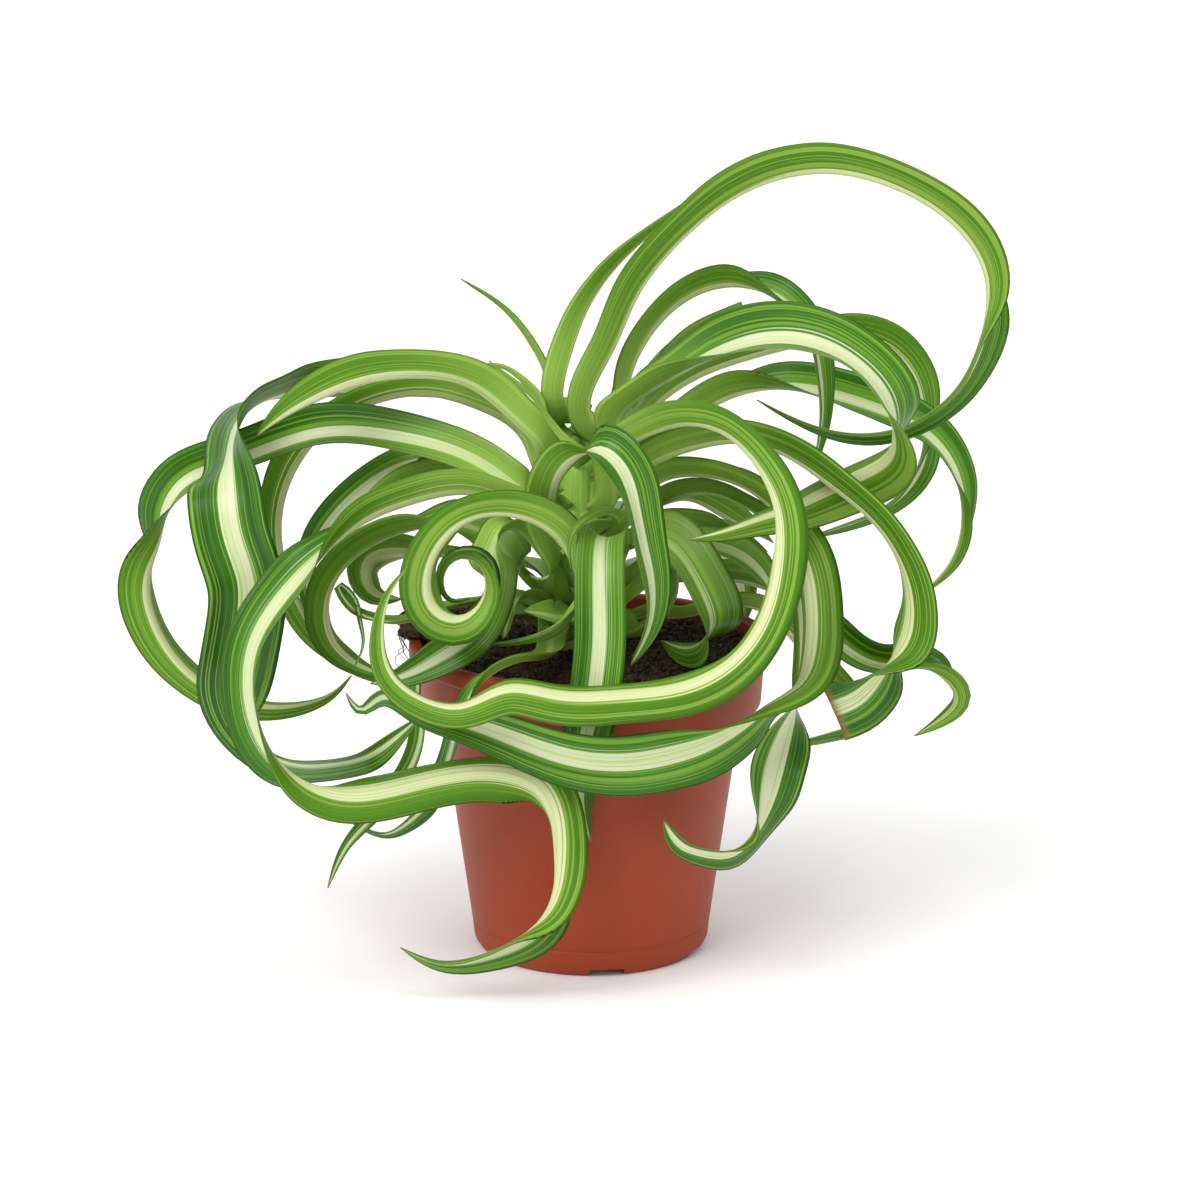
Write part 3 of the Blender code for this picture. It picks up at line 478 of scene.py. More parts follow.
# How each leaf is coloured: the share of its half width that is cream, and how dark its green is, 0 to 1.
HABITS = {
    "front_hoop": (0.24, 0.75), "front_sash": (0.29, 0.6), "outer_hoop": (0.20, 0.85),
    "right_hanger": (0.27, 0.7), "great_loop": (0.23, 0.7), "shoulder": (0.23, 0.7),
    "pale_arch": (0.37, 0.4), "right_arch": (0.27, 0.6), "back_hook": (0.29, 0.6), "cut_blade": (0.34, 0.3),
    "low_right": (0.23, 0.7), "low_tuck": (0.20, 0.7), "inner_arch_high": (0.27, 0.6),
    "inner_arch_low": (0.24, 0.6), "olive_arch": (0.20, 0.35), "soil_droop": (0.10, 0.85),
    "back_droop": (0.29, 0.3), "soil_hook": (0.20, 0.5), "centre_arch": (0.20, 0.75),
    "centre_droop": (0.20, 0.6), "centre_wisp": (0.17, 0.8), "front_curl": (0.20, 0.85),
    "ring_wisp": (0.20, 0.5), "rim_drape": (0.22, 0.7), "left_ring": (0.20, 0.7), "back_curl": (0.27, 0.5),
    "soil_fan": (0.20, 0.6), "soil_blade": (0.20, 0.6), "left_wisp": (0.20, 0.6),
    "left_arch_high": (0.27, 0.6), "left_olive_ring": (0.34, 0.35), "left_broad": (0.18, 0.9),
    "left_far_loop": (0.24, 0.75), "left_big_loop": (0.34, 0.75), "left_mid_arch": (0.27, 0.6),
    "left_low_arch": (0.31, 0.5), "top_left_blade": (0.14, 0.6), "top_left_wisp_a": (0.14, 0.6),
    "top_left_wisp_b": (0.14, 0.6), "tall_blade": (0.20, 0.5), "low_left_strand": (0.20, 0.6),
    "low_left_curl": (0.20, 0.6),
}


def linear(hex_colour):
    """The linear colour, with an alpha of 1, of an sRGB hex value."""
    parts = [int(hex_colour[i:i + 2], 16) / 255 for i in (1, 3, 5)]
    return tuple(p / 12.92 if p <= 0.04045 else ((p + 0.055) / 1.055) ** 2.4 for p in parts) + (1.0,)


def add_node(tree, kind, inputs=None, **settings):
    """Adds a node, sets its settings, and sets or links its inputs."""
    node = tree.nodes.new(kind)
    for key, value in settings.items():
        setattr(node, key, value)
    for key, value in (inputs or {}).items():
        if isinstance(value, bpy.types.NodeSocket):
            tree.links.new(value, node.inputs[key])
        else:
            node.inputs[key].default_value = value
    return node


# ---------------------------------------------------------------- the leaf's path


def facing_vector(letters):
    """The direction that the letters name: a capital counts whole, a small letter half."""
    total = np.zeros(3)
    for letter in letters:
        total += np.array(FACING[letter.upper()]) * (1.0 if letter.isupper() else 0.5)
    return total / np.linalg.norm(total)


def from_elevation(across, up, out):
    """A place on the front elevation, brought out along the sight line."""
    sheet = np.array((across, 0.0, up))
    return sheet + (EYE - sheet) * (out / -EYE[1])


def smooth_curve(knots, spacing):
    """Points about that far apart on the natural cubic curve through the knots, with their places among the
    knots and their distances along the curve."""
    knots = np.asarray(knots, float)
    chord = np.concatenate([[0.0], np.cumsum(np.linalg.norm(np.diff(knots, axis=0), axis=1))])
    gap = np.diff(chord)
    size = len(knots)
    system = np.eye(size)
    right = np.zeros((size, knots.shape[1]))
    for i in range(1, size - 1):
        system[i, i - 1:i + 2] = gap[i - 1], 2 * (gap[i - 1] + gap[i]), gap[i]
        right[i] = 6 * ((knots[i + 1] - knots[i]) / gap[i] - (knots[i] - knots[i - 1]) / gap[i - 1])
    bend = np.linalg.solve(system, right)

    def at(place):
        i = np.clip(np.searchsorted(chord, place, side="right") - 1, 0, size - 2)
        a = ((chord[i + 1] - place) / gap[i])[:, None]
        b = 1 - a
        step = gap[i][:, None]
        sag = (a**3 - a) * bend[i] + (b**3 - b) * bend[i + 1]
        return a * knots[i] + b * knots[i + 1] + sag * step**2 / 6

    fine = np.linspace(0, chord[-1], 60 * size)
    run = np.concatenate([[0.0], np.cumsum(np.linalg.norm(np.diff(at(fine), axis=0), axis=1))])
    count = max(24, round(run[-1] / spacing))
    along = np.linspace(0, run[-1], count)
    place = np.interp(along, run, fine)
    return at(place), np.interp(place, chord, np.arange(size)), along


def blend_in(value, low, high):
    """0 below low, 1 above high, and smooth between."""
    share = np.clip((np.asarray(value, float) - low) / (high - low), 0, 1)
    return share * share * (3 - 2 * share)


def blade_width(share, row):
    """Full width of a blade at a share of its length, from the clasping foot out to the drawn-out tip."""
    wide = SHEATH_WIDTH + (row["width"] - SHEATH_WIDTH) * blend_in(share, 0, row.get("grow", GROW))
    if row.get("cut"):
        return wide
    left = (1 - share) / row.get("taper", TAPER)
    if left >= 1:
        return wide
    return TIP_WIDTH + (wide - TIP_WIDTH) * math.sin(left * math.pi / 2) ** 0.9


def crown_radius(height):
    """Radius of the crown, the column of clasped leaf bases."""
    foot = SOIL_CENTRE + 0.3
    share = np.clip((height - foot) / (CROWN_TOP - foot), 0, 1)
    return CROWN_FOOT_RADIUS + (CROWN_NECK_RADIUS - CROWN_FOOT_RADIUS) * share


def leaf_path(turn, height, knots):
    """Knots and facings of a whole leaf: the clasping foot on the crown, then the knots of its table row."""
    turn = math.radians(turn)
    outward = np.array((math.cos(turn), math.sin(turn), 0.0))
    foot = np.array((*CROWN_AT, height)) + outward * (crown_radius(height) + FOOT_GAP)
    rise = outward * 0.75 + np.array((0.0, 0.0, 0.66))
    places = [foot, foot + rise * BASE_RISE] + [from_elevation(*knot[:3]) for knot in knots]
    clasp = np.array((0.0, 0.0, 1.0)) - outward
    return places, [clasp, clasp] + [facing_vector(knot[3]) for knot in knots]


def smooth_rows(rows, passes):
    """Rows averaged with their neighbours, the ends held."""
    for _ in range(passes):
        rows[1:-1] = (rows[:-2] + 2 * rows[1:-1] + rows[2:]) / 4
    return rows


# ---------------------------------------------------------------- meshes


def placed(name, data):
    """A new object of that data, in the scene."""
    thing = bpy.data.objects.new(name, data)
    bpy.context.scene.collection.objects.link(thing)
    return thing


def mesh_of(shape, name):
    """A mesh of that shape, which is then freed."""
    mesh = bpy.data.meshes.new(name)
    shape.to_mesh(mesh)
    shape.free()
    return mesh


def ring_faces(rings, steps):
    """Quads from each ring of points to the next, and one face under the first ring."""
    faces = []
    for j in range(rings - 1):
        for k in range(steps):
            n = (k + 1) % steps
            faces.append((j * steps + k, j * steps + n, (j + 1) * steps + n, (j + 1) * steps + k))
    faces.append(tuple(range(steps))[::-1])
    return faces


def mesh_object(name, vertices, faces, materials):
    """A smooth-shaded object of those vertices, in millimetres, and faces."""
    mesh = bpy.data.meshes.new(name)
    mesh.from_pydata([tuple(float(c) * MM for c in v) for v in vertices], [], [tuple(f) for f in faces])
    mesh.update()
    mesh.shade_smooth()
    for material in materials:
        mesh.materials.append(material)
    return placed(name, mesh)


def set_layout(mesh, name, places):
    """A UV map of that name, from a place for each vertex."""
    loops = np.empty(len(mesh.loops), np.int32)
    mesh.loops.foreach_get("vertex_index", loops)
    layout = mesh.uv_layers.new(name=name)
    layout.data.foreach_set("uv", np.asarray(places, np.float32)[loops].ravel())


def settle(piece, node):
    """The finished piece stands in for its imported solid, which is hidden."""
    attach(piece, "root")
    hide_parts(node)


def settle_loose(piece):
    """A piece with no solid of its own."""
    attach(piece, "root")


def bake(thing):
    """Applies the object's modifiers, so that it is a plain mesh."""
    graph = bpy.context.evaluated_depsgraph_get()
    mesh = bpy.data.meshes.new_from_object(thing.evaluated_get(graph))
    thing.modifiers.clear()
    thing.data = mesh


def blade_frame(row, spacing):
    """A leaf's midrib: its points, their distances along it, and the directions to the side and up there."""
    places, facings = leaf_path(row["turn"], row["height"], row["knots"])
    points, order, along = smooth_curve(places, spacing)
    hints = np.array([np.interp(order, range(len(facings)), np.array(facings)[:, k]) for k in range(3)]).T
    hints = smooth_rows(hints, HINT_PASSES)
    ahead = np.gradient(points, axis=0)
    ahead /= np.linalg.norm(ahead, axis=1)[:, None]
    upper = hints - ahead * (hints * ahead).sum(axis=1)[:, None]
    upper = smooth_rows(upper / np.linalg.norm(upper, axis=1)[:, None], FACING_PASSES)
    upper /= np.linalg.norm(upper, axis=1)[:, None]
    return points, along, np.cross(ahead, upper), upper


def blade_section(u, share, run, seed, row, settings):
    """Reach to the side, lift, and thickness of a blade's cross section, for u from -1 to 1 across it."""
    half = blade_width(share, row) / 2
    last_fold = row.get("fold_end", row["fold"])
    bent = math.radians(row["fold"] + (last_fold - row["fold"]) * share)
    rounding = KEEL_ROUNDING
    fold_line = np.sqrt(u * u + rounding * rounding) - rounding
    fold_line = fold_line / (math.sqrt(1 + rounding * rounding) - rounding)
    swell = noise.noise(Vector((run * SWELL_PER_MM, seed * 3.1, 0.0)))
    left_wave = noise.noise(Vector((run * RIPPLE_PER_MM, seed * 1.7, 4.0)))
    right_wave = noise.noise(Vector((run * RIPPLE_PER_MM, seed * 2.3, 9.0)))
    wave = np.where(u < 0, left_wave, right_wave) * u * u * settings.ripple / MM * min(1, half / 6)
    bow = BOW * half * np.sin(np.abs(u) * math.pi)
    ribs = RIB_HEIGHT * np.cos(u * math.pi * RIB_WAVES) * (1 - u * u)
    lift = half * math.sin(bent * (1 + SWELL * swell)) * fold_line + wave - bow + ribs
    ridge = KEEL_HEIGHT * np.exp(-(u / KEEL_REACH) ** 2) * min(1, half / 5)
    thick = settings.blade_thickness / MM * (1 - EDGE_THINNING * u * u) + ridge
    thick = thick * (0.35 + 0.65 * min(1, (1 - share) * 12))  # it thins over the last twelfth
    return half * math.cos(bent) * u, lift, thick


def tube_faces(count, columns):
    """Faces of a closed blade: the ring of each station joined to the next, and a strip over each end."""
    ring = 2 * columns
    faces = []
    for i in range(count - 1):
        a, b = i * ring, (i + 1) * ring
        for k in range(ring):
            n = (k + 1) % ring
            faces.append((a + k, b + k, b + n, a + n))
    for start, turned in ((0, False), ((count - 1) * ring, True)):
        for k in range(columns):
            # the strip's outermost faces have their upper and under corners in one
            corners = (start + k, start + k + 1, start + ring - k - 1, start + (ring - k) % ring)
            face = list(dict.fromkeys(corners))
            faces.append(face[::-1] if turned else face)
    return faces


def make_leaf(name, row, settings, upper_material, under_material):
    """One leaf: a folded, faintly rippled blade with a thin edge and a keel under its midrib."""
    points, along, side, upper = blade_frame(row, settings.station_spacing / MM)
    count = len(points)
    columns = settings.columns
    ring = 2 * columns
    seed = sum(ord(letter) * (i + 1) for i, letter in enumerate(name)) % SEEDS
    u = np.linspace(-1, 1, columns + 1)
    vertices = []
    for i in range(count):
        reach, lift, thick = blade_section(u, i / (count - 1), along[i], seed, row, settings)
        top = points[i] + np.outer(reach, side[i]) + np.outer(lift, upper[i])
        low = top[1:-1] - np.outer(thick[1:-1], upper[i])
        vertices.extend(top)
        vertices.extend(low[::-1])
    faces = tube_faces(count, columns)
    leaf = mesh_object(name + "_blade", vertices, faces, (upper_material, under_material))
    mesh = leaf.data
    band, dark = HABITS[name]
    run = mesh.attributes.new("run", "FLOAT", "POINT")
    run.data.foreach_set("value", np.repeat(along, ring).astype(np.float32))
    habit = mesh.attributes.new("habit", "FLOAT_VECTOR", "POINT")
    habit.data.foreach_set("vector", np.tile((band, dark, seed / SEEDS), count * ring).astype(np.float32))
    place = np.concatenate([np.linspace(0, 1, columns + 1), np.linspace(1, 0, columns + 1)[1:-1]])
    layout = np.stack([np.tile(place, count), np.repeat(np.linspace(0, 1, count), ring)], axis=1)
    set_layout(mesh, "blade", layout)
    under = np.zeros(len(mesh.polygons), np.int32)
    under[:(count - 1) * ring] = np.tile(np.arange(ring) >= columns, count - 1)
    mesh.polygons.foreach_set("material_index", under)
    return leaf


# ---------------------------------------------------------------- materials


def new_material(name):
    """A material with an empty node tree, and the tree."""
    material = bpy.data.materials.new(name)
    material.use_nodes = True
    material.node_tree.nodes.clear()
    return material, material.node_tree


def leaf_material(name, deep, fresh, pale, cream, underside):
    """Living leaf blade, waxy above and matter below. Its stripes follow the veins along its whole length."""
    material, tree = new_material(name)
    layout = add_node(tree, "ShaderNodeUVMap", uv_map="blade")
    place = add_node(tree, "ShaderNodeSeparateXYZ", {"Vector": layout.outputs["UV"]})
    run = add_node(tree, "ShaderNodeAttribute", attribute_name="run").outputs["Fac"]
    habit = add_node(tree, "ShaderNodeAttribute", attribute_name="habit")
    habit = add_node(tree, "ShaderNodeSeparateXYZ", {"Vector": habit.outputs["Vector"]})
    band, dark, seed = habit.outputs["X"], habit.outputs["Y"], habit.outputs["Z"]
    middle = add_node(tree, "ShaderNodeMath", {
        0: place.outputs["X"], 1: 2.0, 2: -1.0}, operation="MULTIPLY_ADD")
    margin = add_node(tree, "ShaderNodeMath", {0: middle.outputs[0]}, operation="ABSOLUTE").outputs[0]

    # On a 19 mm blade: veins 0.4 mm apart, lines 1.5 mm apart, bands 5 mm wide; all drift slowly along it.
    spot = add_node(tree, "ShaderNodeCombineXYZ", {"X": place.outputs["X"], "Y": run, "Z": seed})
    layers = []
    for stripes, drift, detail, shift in (
        (46.0, 0.006, 2.0, 0.0), (13.0, 0.004, 1.0, 5.0), (4.0, 0.010, 1.0, 11.0),
    ):
        laid = add_node(tree, "ShaderNodeMapping", {
            "Vector": spot.outputs["Vector"], "Scale": (stripes, drift, 37.0), "Location": (0.0, 0.0, shift)})
        stripe = add_node(tree, "ShaderNodeTexNoise", {
            "Vector": laid.outputs["Vector"], "Scale": 1.0, "Detail": detail, "Roughness": 0.55})
        layers.append(stripe.outputs["Fac"])
    fine, coarse, broad = layers

    wobble = add_node(tree, "ShaderNodeMath", {0: coarse, 1: 0.75, 2: margin}, operation="MULTIPLY_ADD")
    edge = add_node(tree, "ShaderNodeMath", {
        0: fine, 1: 0.34, 2: wobble.outputs[0]}, operation="MULTIPLY_ADD")
    past = add_node(tree, "ShaderNodeMath", {0: edge.outputs[0], 1: band}, operation="SUBTRACT").outputs[0]
    shade = add_node(tree, "ShaderNodeMath", {0: dark, 1: -0.65, 2: 0.3}, operation="MULTIPLY_ADD").outputs[0]
    depth = add_node(tree, "ShaderNodeMath", {
        0: broad, 1: 0.9, 2: shade}, operation="MULTIPLY_ADD", use_clamp=True)
    share = {}
    for key, value, low, high, at_low, at_high in (
        ("green", past, 0.52, 0.60, 0.0, 1.0),
        ("beside", past, 0.56, 0.90, 0.42, 0.0),
        ("coarse_line", coarse, 0.55, 0.66, 0.0, 0.42),
        ("fine_line", fine, 0.52, 0.66, 0.0, 0.52),
        ("vein", fine, 0.50, 0.62, 0.0, 0.60),
        ("margin", margin, 0.90, 0.985, 0.0, 0.60),
        ("foot", run, 10.0, 84.0, 0.66, 0.0),
        ("tip", place.outputs["Y"], 0.982, 1.0, 0.0, 0.8),
    ):
        share[key] = add_node(tree, "ShaderNodeMapRange", {
            "Value": value, "From Min": low, "From Max": high, "To Min": at_low, "To Max": at_high},
            interpolation_type="SMOOTHSTEP").outputs["Result"]
    lines = add_node(tree, "ShaderNodeMath", {
        0: share["coarse_line"], 1: share["fine_line"]}, operation="MAXIMUM")

    green = deep
    for amount, over in ((depth.outputs[0], fresh), (share["beside"], fresh), (lines.outputs[0], pale)):
        green = add_node(tree, "ShaderNodeMix", {0: amount, 6: green, 7: over}, data_type="RGBA").outputs[2]
    colour = add_node(tree, "ShaderNodeMix", {
        0: share["vein"], 6: cream, 7: pale}, data_type="RGBA").outputs[2]
    for amount, over in (
        (share["green"], green), (share["margin"], deep), (share["foot"], linear("#AFD262")),
        (share["tip"], linear("#8E7242")),
    ):
        colour = add_node(tree, "ShaderNodeMix", {0: amount, 6: colour, 7: over}, data_type="RGBA").outputs[2]

    ridge = add_node(tree, "ShaderNodeMath", {0: fine, 1: coarse}, operation="ADD")
    bump = add_node(tree, "ShaderNodeBump", {
        "Strength": 0.5, "Distance": 0.00022, "Height": ridge.outputs[0]})
    gloss = 0.44 if underside else 0.24
    rough = add_node(tree, "ShaderNodeMath", {0: coarse, 1: 0.16, 2: gloss}, operation="MULTIPLY_ADD")
    shader = add_node(tree, "ShaderNodeBsdfPrincipled", {
        "Base Color": colour, "Roughness": rough.outputs[0], "IOR": 1.45, "Normal": bump.outputs["Normal"],
        "Subsurface Weight": 0.08, "Subsurface Radius": (0.7, 1.0, 0.2), "Subsurface Scale": 0.0008,
        "Specular IOR Level": 0.18 if underside else 0.34})
    add_node(tree, "ShaderNodeOutputMaterial", {"Surface": shader.outputs["BSDF"]})
    return material


def plastic_material(colour):
    """Injection-moulded polypropylene with a fine matt grain: broad soft highlights, dust near the rim."""
    material, tree = new_material("moulded_polypropylene")
    where = add_node(tree, "ShaderNodeTexCoord").outputs["Object"]
    cloud = add_node(tree, "ShaderNodeTexNoise", {
        "Vector": where, "Scale": 28.0, "Detail": 3.0}).outputs["Fac"]
    # moulding grain about 0.4 mm apart
    grain = add_node(tree, "ShaderNodeTexNoise", {
        "Vector": where, "Scale": 2400.0, "Detail": 2.0}).outputs["Fac"]
    # drag lines where the wall slid off its mould, about 1.5 mm apart
    laid = add_node(tree, "ShaderNodeMapping", {"Vector": where, "Scale": (650.0, 650.0, 9.0)})
    drag = add_node(tree, "ShaderNodeTexNoise", {
        "Vector": laid.outputs["Vector"], "Scale": 1.0, "Detail": 1.0})
    # dust in specks about 6 mm apart
    dusty = add_node(tree, "ShaderNodeTexNoise", {
        "Vector": where, "Scale": 160.0, "Detail": 5.0, "Roughness": 0.7})
    height = add_node(tree, "ShaderNodeSeparateXYZ", {"Vector": where}).outputs["Z"]
    high = add_node(tree, "ShaderNodeMapRange", {
        "Value": height, "From Min": 0.088, "From Max": 0.106, "To Min": 0.03, "To Max": 0.5})
    specks = add_node(tree, "ShaderNodeMapRange", {
        "Value": dusty.outputs["Fac"], "From Min": 0.58, "From Max": 0.72})
    dust = add_node(tree, "ShaderNodeMath", {0: high.outputs["Result"], 1: specks.outputs["Result"]},
                    operation="MULTIPLY")
    shade = add_node(tree, "ShaderNodeMapRange", {
        "Value": cloud, "From Min": 0.35, "From Max": 0.7, "To Min": 0.93, "To Max": 1.05})
    tinted = add_node(tree, "ShaderNodeHueSaturation", {"Color": colour, "Value": shade.outputs["Result"]})
    dusted = add_node(tree, "ShaderNodeMix", {
        0: dust.outputs[0], 6: tinted.outputs["Color"], 7: linear("#5E3E2C")}, data_type="RGBA")
    rough = add_node(tree, "ShaderNodeMapRange", {"Value": cloud, "To Min": 0.42, "To Max": 0.6})
    relief = add_node(tree, "ShaderNodeMath", {0: grain, 1: drag.outputs["Fac"]}, operation="ADD")
    bump = add_node(tree, "ShaderNodeBump", {
        "Strength": 0.25, "Distance": 0.00012, "Height": relief.outputs[0]})
    shader = add_node(tree, "ShaderNodeBsdfPrincipled", {
        "Base Color": dusted.outputs[2], "Roughness": rough.outputs["Result"], "IOR": 1.49,
        "Normal": bump.outputs["Normal"], "Specular IOR Level": 0.3, "Subsurface Weight": 0.05,
        "Subsurface Radius": (1.0, 0.4, 0.2), "Subsurface Scale": 0.0015})
    add_node(tree, "ShaderNodeOutputMaterial", {"Surface": shader.outputs["BSDF"]})
    return material


def peat_material():
    """Damp peat with coir: near black crumbs with tan flecks, no gloss."""
    material, tree = new_material("damp_peat")
    where = add_node(tree, "ShaderNodeTexCoord").outputs["Object"]
    # clumps about 4 mm across, flecks about 1 mm
    clump = add_node(tree, "ShaderNodeTexNoise", {
        "Vector": where, "Scale": 260.0, "Detail": 6.0, "Roughness": 0.65}).outputs["Fac"]
    flecks = add_node(tree, "ShaderNodeTexNoise", {
        "Vector": where, "Scale": 1000.0, "Detail": 2.0}).outputs["Fac"]
    ramp = add_node(tree, "ShaderNodeValToRGB", {"Fac": clump})
    ramp.color_ramp.elements[0].position = 0.36
    ramp.color_ramp.elements[0].color = linear("#1A110B")
    ramp.color_ramp.elements[1].position = 0.72
    ramp.color_ramp.elements[1].color = linear("#54402C")
    tan = add_node(tree, "ShaderNodeMapRange", {
        "Value": flecks, "From Min": 0.60, "From Max": 0.72, "To Max": 0.75})
    flecked = add_node(tree, "ShaderNodeMix", {
        0: tan.outputs["Result"], 6: ramp.outputs["Color"], 7: linear("#94744A")}, data_type="RGBA")
    bump = add_node(tree, "ShaderNodeBump", {"Strength": 0.8, "Distance": 0.0009, "Height": clump})
    shader = add_node(tree, "ShaderNodeBsdfPrincipled", {
        "Base Color": flecked.outputs[2], "Roughness": 0.92, "Normal": bump.outputs["Normal"]})
    add_node(tree, "ShaderNodeOutputMaterial", {"Surface": shader.outputs["BSDF"]})
    return material


def fibre_material():
    """Dry coir and root fibre: matt straw brown."""
    material, tree = new_material("root_fibre")
    where = add_node(tree, "ShaderNodeTexCoord").outputs["Object"]
    # patches about 2.5 mm long
    patch = add_node(tree, "ShaderNodeTexNoise", {
        "Vector": where, "Scale": 420.0, "Detail": 2.0}).outputs["Fac"]
    ramp = add_node(tree, "ShaderNodeValToRGB", {"Fac": patch})
    ramp.color_ramp.elements[0].position = 0.35
    ramp.color_ramp.elements[0].color = linear("#3E2818")
    ramp.color_ramp.elements[1].position = 0.65
    ramp.color_ramp.elements[1].color = linear("#8A6A42")
    shader = add_node(tree, "ShaderNodeBsdfPrincipled", {
        "Base Color": ramp.outputs["Color"], "Roughness": 0.8})
    add_node(tree, "ShaderNodeOutputMaterial", {"Surface": shader.outputs["BSDF"]})
    return material


def crown_material():
    """Clasped leaf bases: waxy flesh, straw low down and yellow green above, with fine upright veins."""
    material, tree = new_material("leaf_base_flesh")
    layout = add_node(tree, "ShaderNodeUVMap", uv_map="column").outputs["UV"]
    laid = add_node(tree, "ShaderNodeMapping", {"Vector": layout, "Scale": (90.0, 2.0, 1.0)})
    veins = add_node(tree, "ShaderNodeTexNoise", {
        "Vector": laid.outputs["Vector"], "Scale": 1.0, "Detail": 2.0}).outputs["Fac"]
    where = add_node(tree, "ShaderNodeTexCoord").outputs["Object"]
    height = add_node(tree, "ShaderNodeSeparateXYZ", {"Vector": where}).outputs["Z"]
    level = add_node(tree, "ShaderNodeMapRange", {"Value": height, "From Min": 0.099, "From Max": 0.165})
    ramp = add_node(tree, "ShaderNodeValToRGB", {"Fac": level.outputs["Result"]})
    ramp.color_ramp.elements[0].color = linear("#8A7A48")
    ramp.color_ramp.elements[1].color = linear("#98C652")
    ramp.color_ramp.elements.new(0.15).color = linear("#BFC583")
    ramp.color_ramp.elements.new(0.5).color = linear("#B2D070")
    lines = add_node(tree, "ShaderNodeMapRange", {
        "Value": veins, "From Min": 0.45, "From Max": 0.65, "To Max": 0.6})
    veined = add_node(tree, "ShaderNodeMix", {
        0: lines.outputs["Result"], 6: ramp.outputs["Color"], 7: linear("#7DAE3A")}, data_type="RGBA")
    bump = add_node(tree, "ShaderNodeBump", {"Strength": 0.4, "Distance": 0.0003, "Height": veins})
    shader = add_node(tree, "ShaderNodeBsdfPrincipled", {
        "Base Color": veined.outputs[2], "Roughness": 0.4, "IOR": 1.45, "Normal": bump.outputs["Normal"],
        "Subsurface Weight": 0.15, "Subsurface Radius": (0.8, 1.0, 0.4), "Subsurface Scale": 0.001})
    add_node(tree, "ShaderNodeOutputMaterial", {"Surface": shader.outputs["BSDF"]})
    return material


# ---------------------------------------------------------------- pot, soil, crown


def wall_radius(height):
    """Outer radius of the pot's tapered wall below the collar."""
    return FOOT_RADIUS + (WALL_TOP_RADIUS - FOOT_RADIUS) * height / (POT_HEIGHT - COLLAR_HEIGHT)


def rounded(points, radius=0.8, steps=4):
    """The closed outline with each corner rounded, as a mould rounds it."""
    result = []
    size = len(points)
    for i in range(size):
        here = np.array(points[i], float)
        if here[0] == 0:
            result.append(tuple(here))
            continue
        before = np.array(points[i - 1], float) - here
        after = np.array(points[(i + 1) % size], float) - here
        cut = min(radius, np.linalg.norm(before) * 0.45, np.linalg.norm(after) * 0.45)
        start = here + before / np.linalg.norm(before) * cut
        stop = here + after / np.linalg.norm(after) * cut
        for k in range(steps + 1):
            t = k / steps
            result.append(tuple((1 - t) ** 2 * start + 2 * t * (1 - t) * here + t * t * stop))
    return result


def turned_mesh(name, outline, steps, materials):
    """A closed solid of an outline of (radius, height), turned round the axis."""
    profile = bmesh.new()
    points = [profile.verts.new((radius * MM, 0.0, height * MM)) for radius, height in outline]
    for a, b in zip(points, points[1:] + points[:1]):
        if a.co.x or b.co.x:
            profile.edges.new((a, b))
    mesh = mesh_of(profile, name)
    for material in materials:
        mesh.materials.append(material)
    thing = placed(name, mesh)
    turned = thing.modifiers.new("turned", "SCREW")
    turned.steps = turned.render_steps = steps
    turned.use_merge_vertices = True
    turned.merge_threshold = 0.00001
    turned.use_normal_calculate = True
    return thing


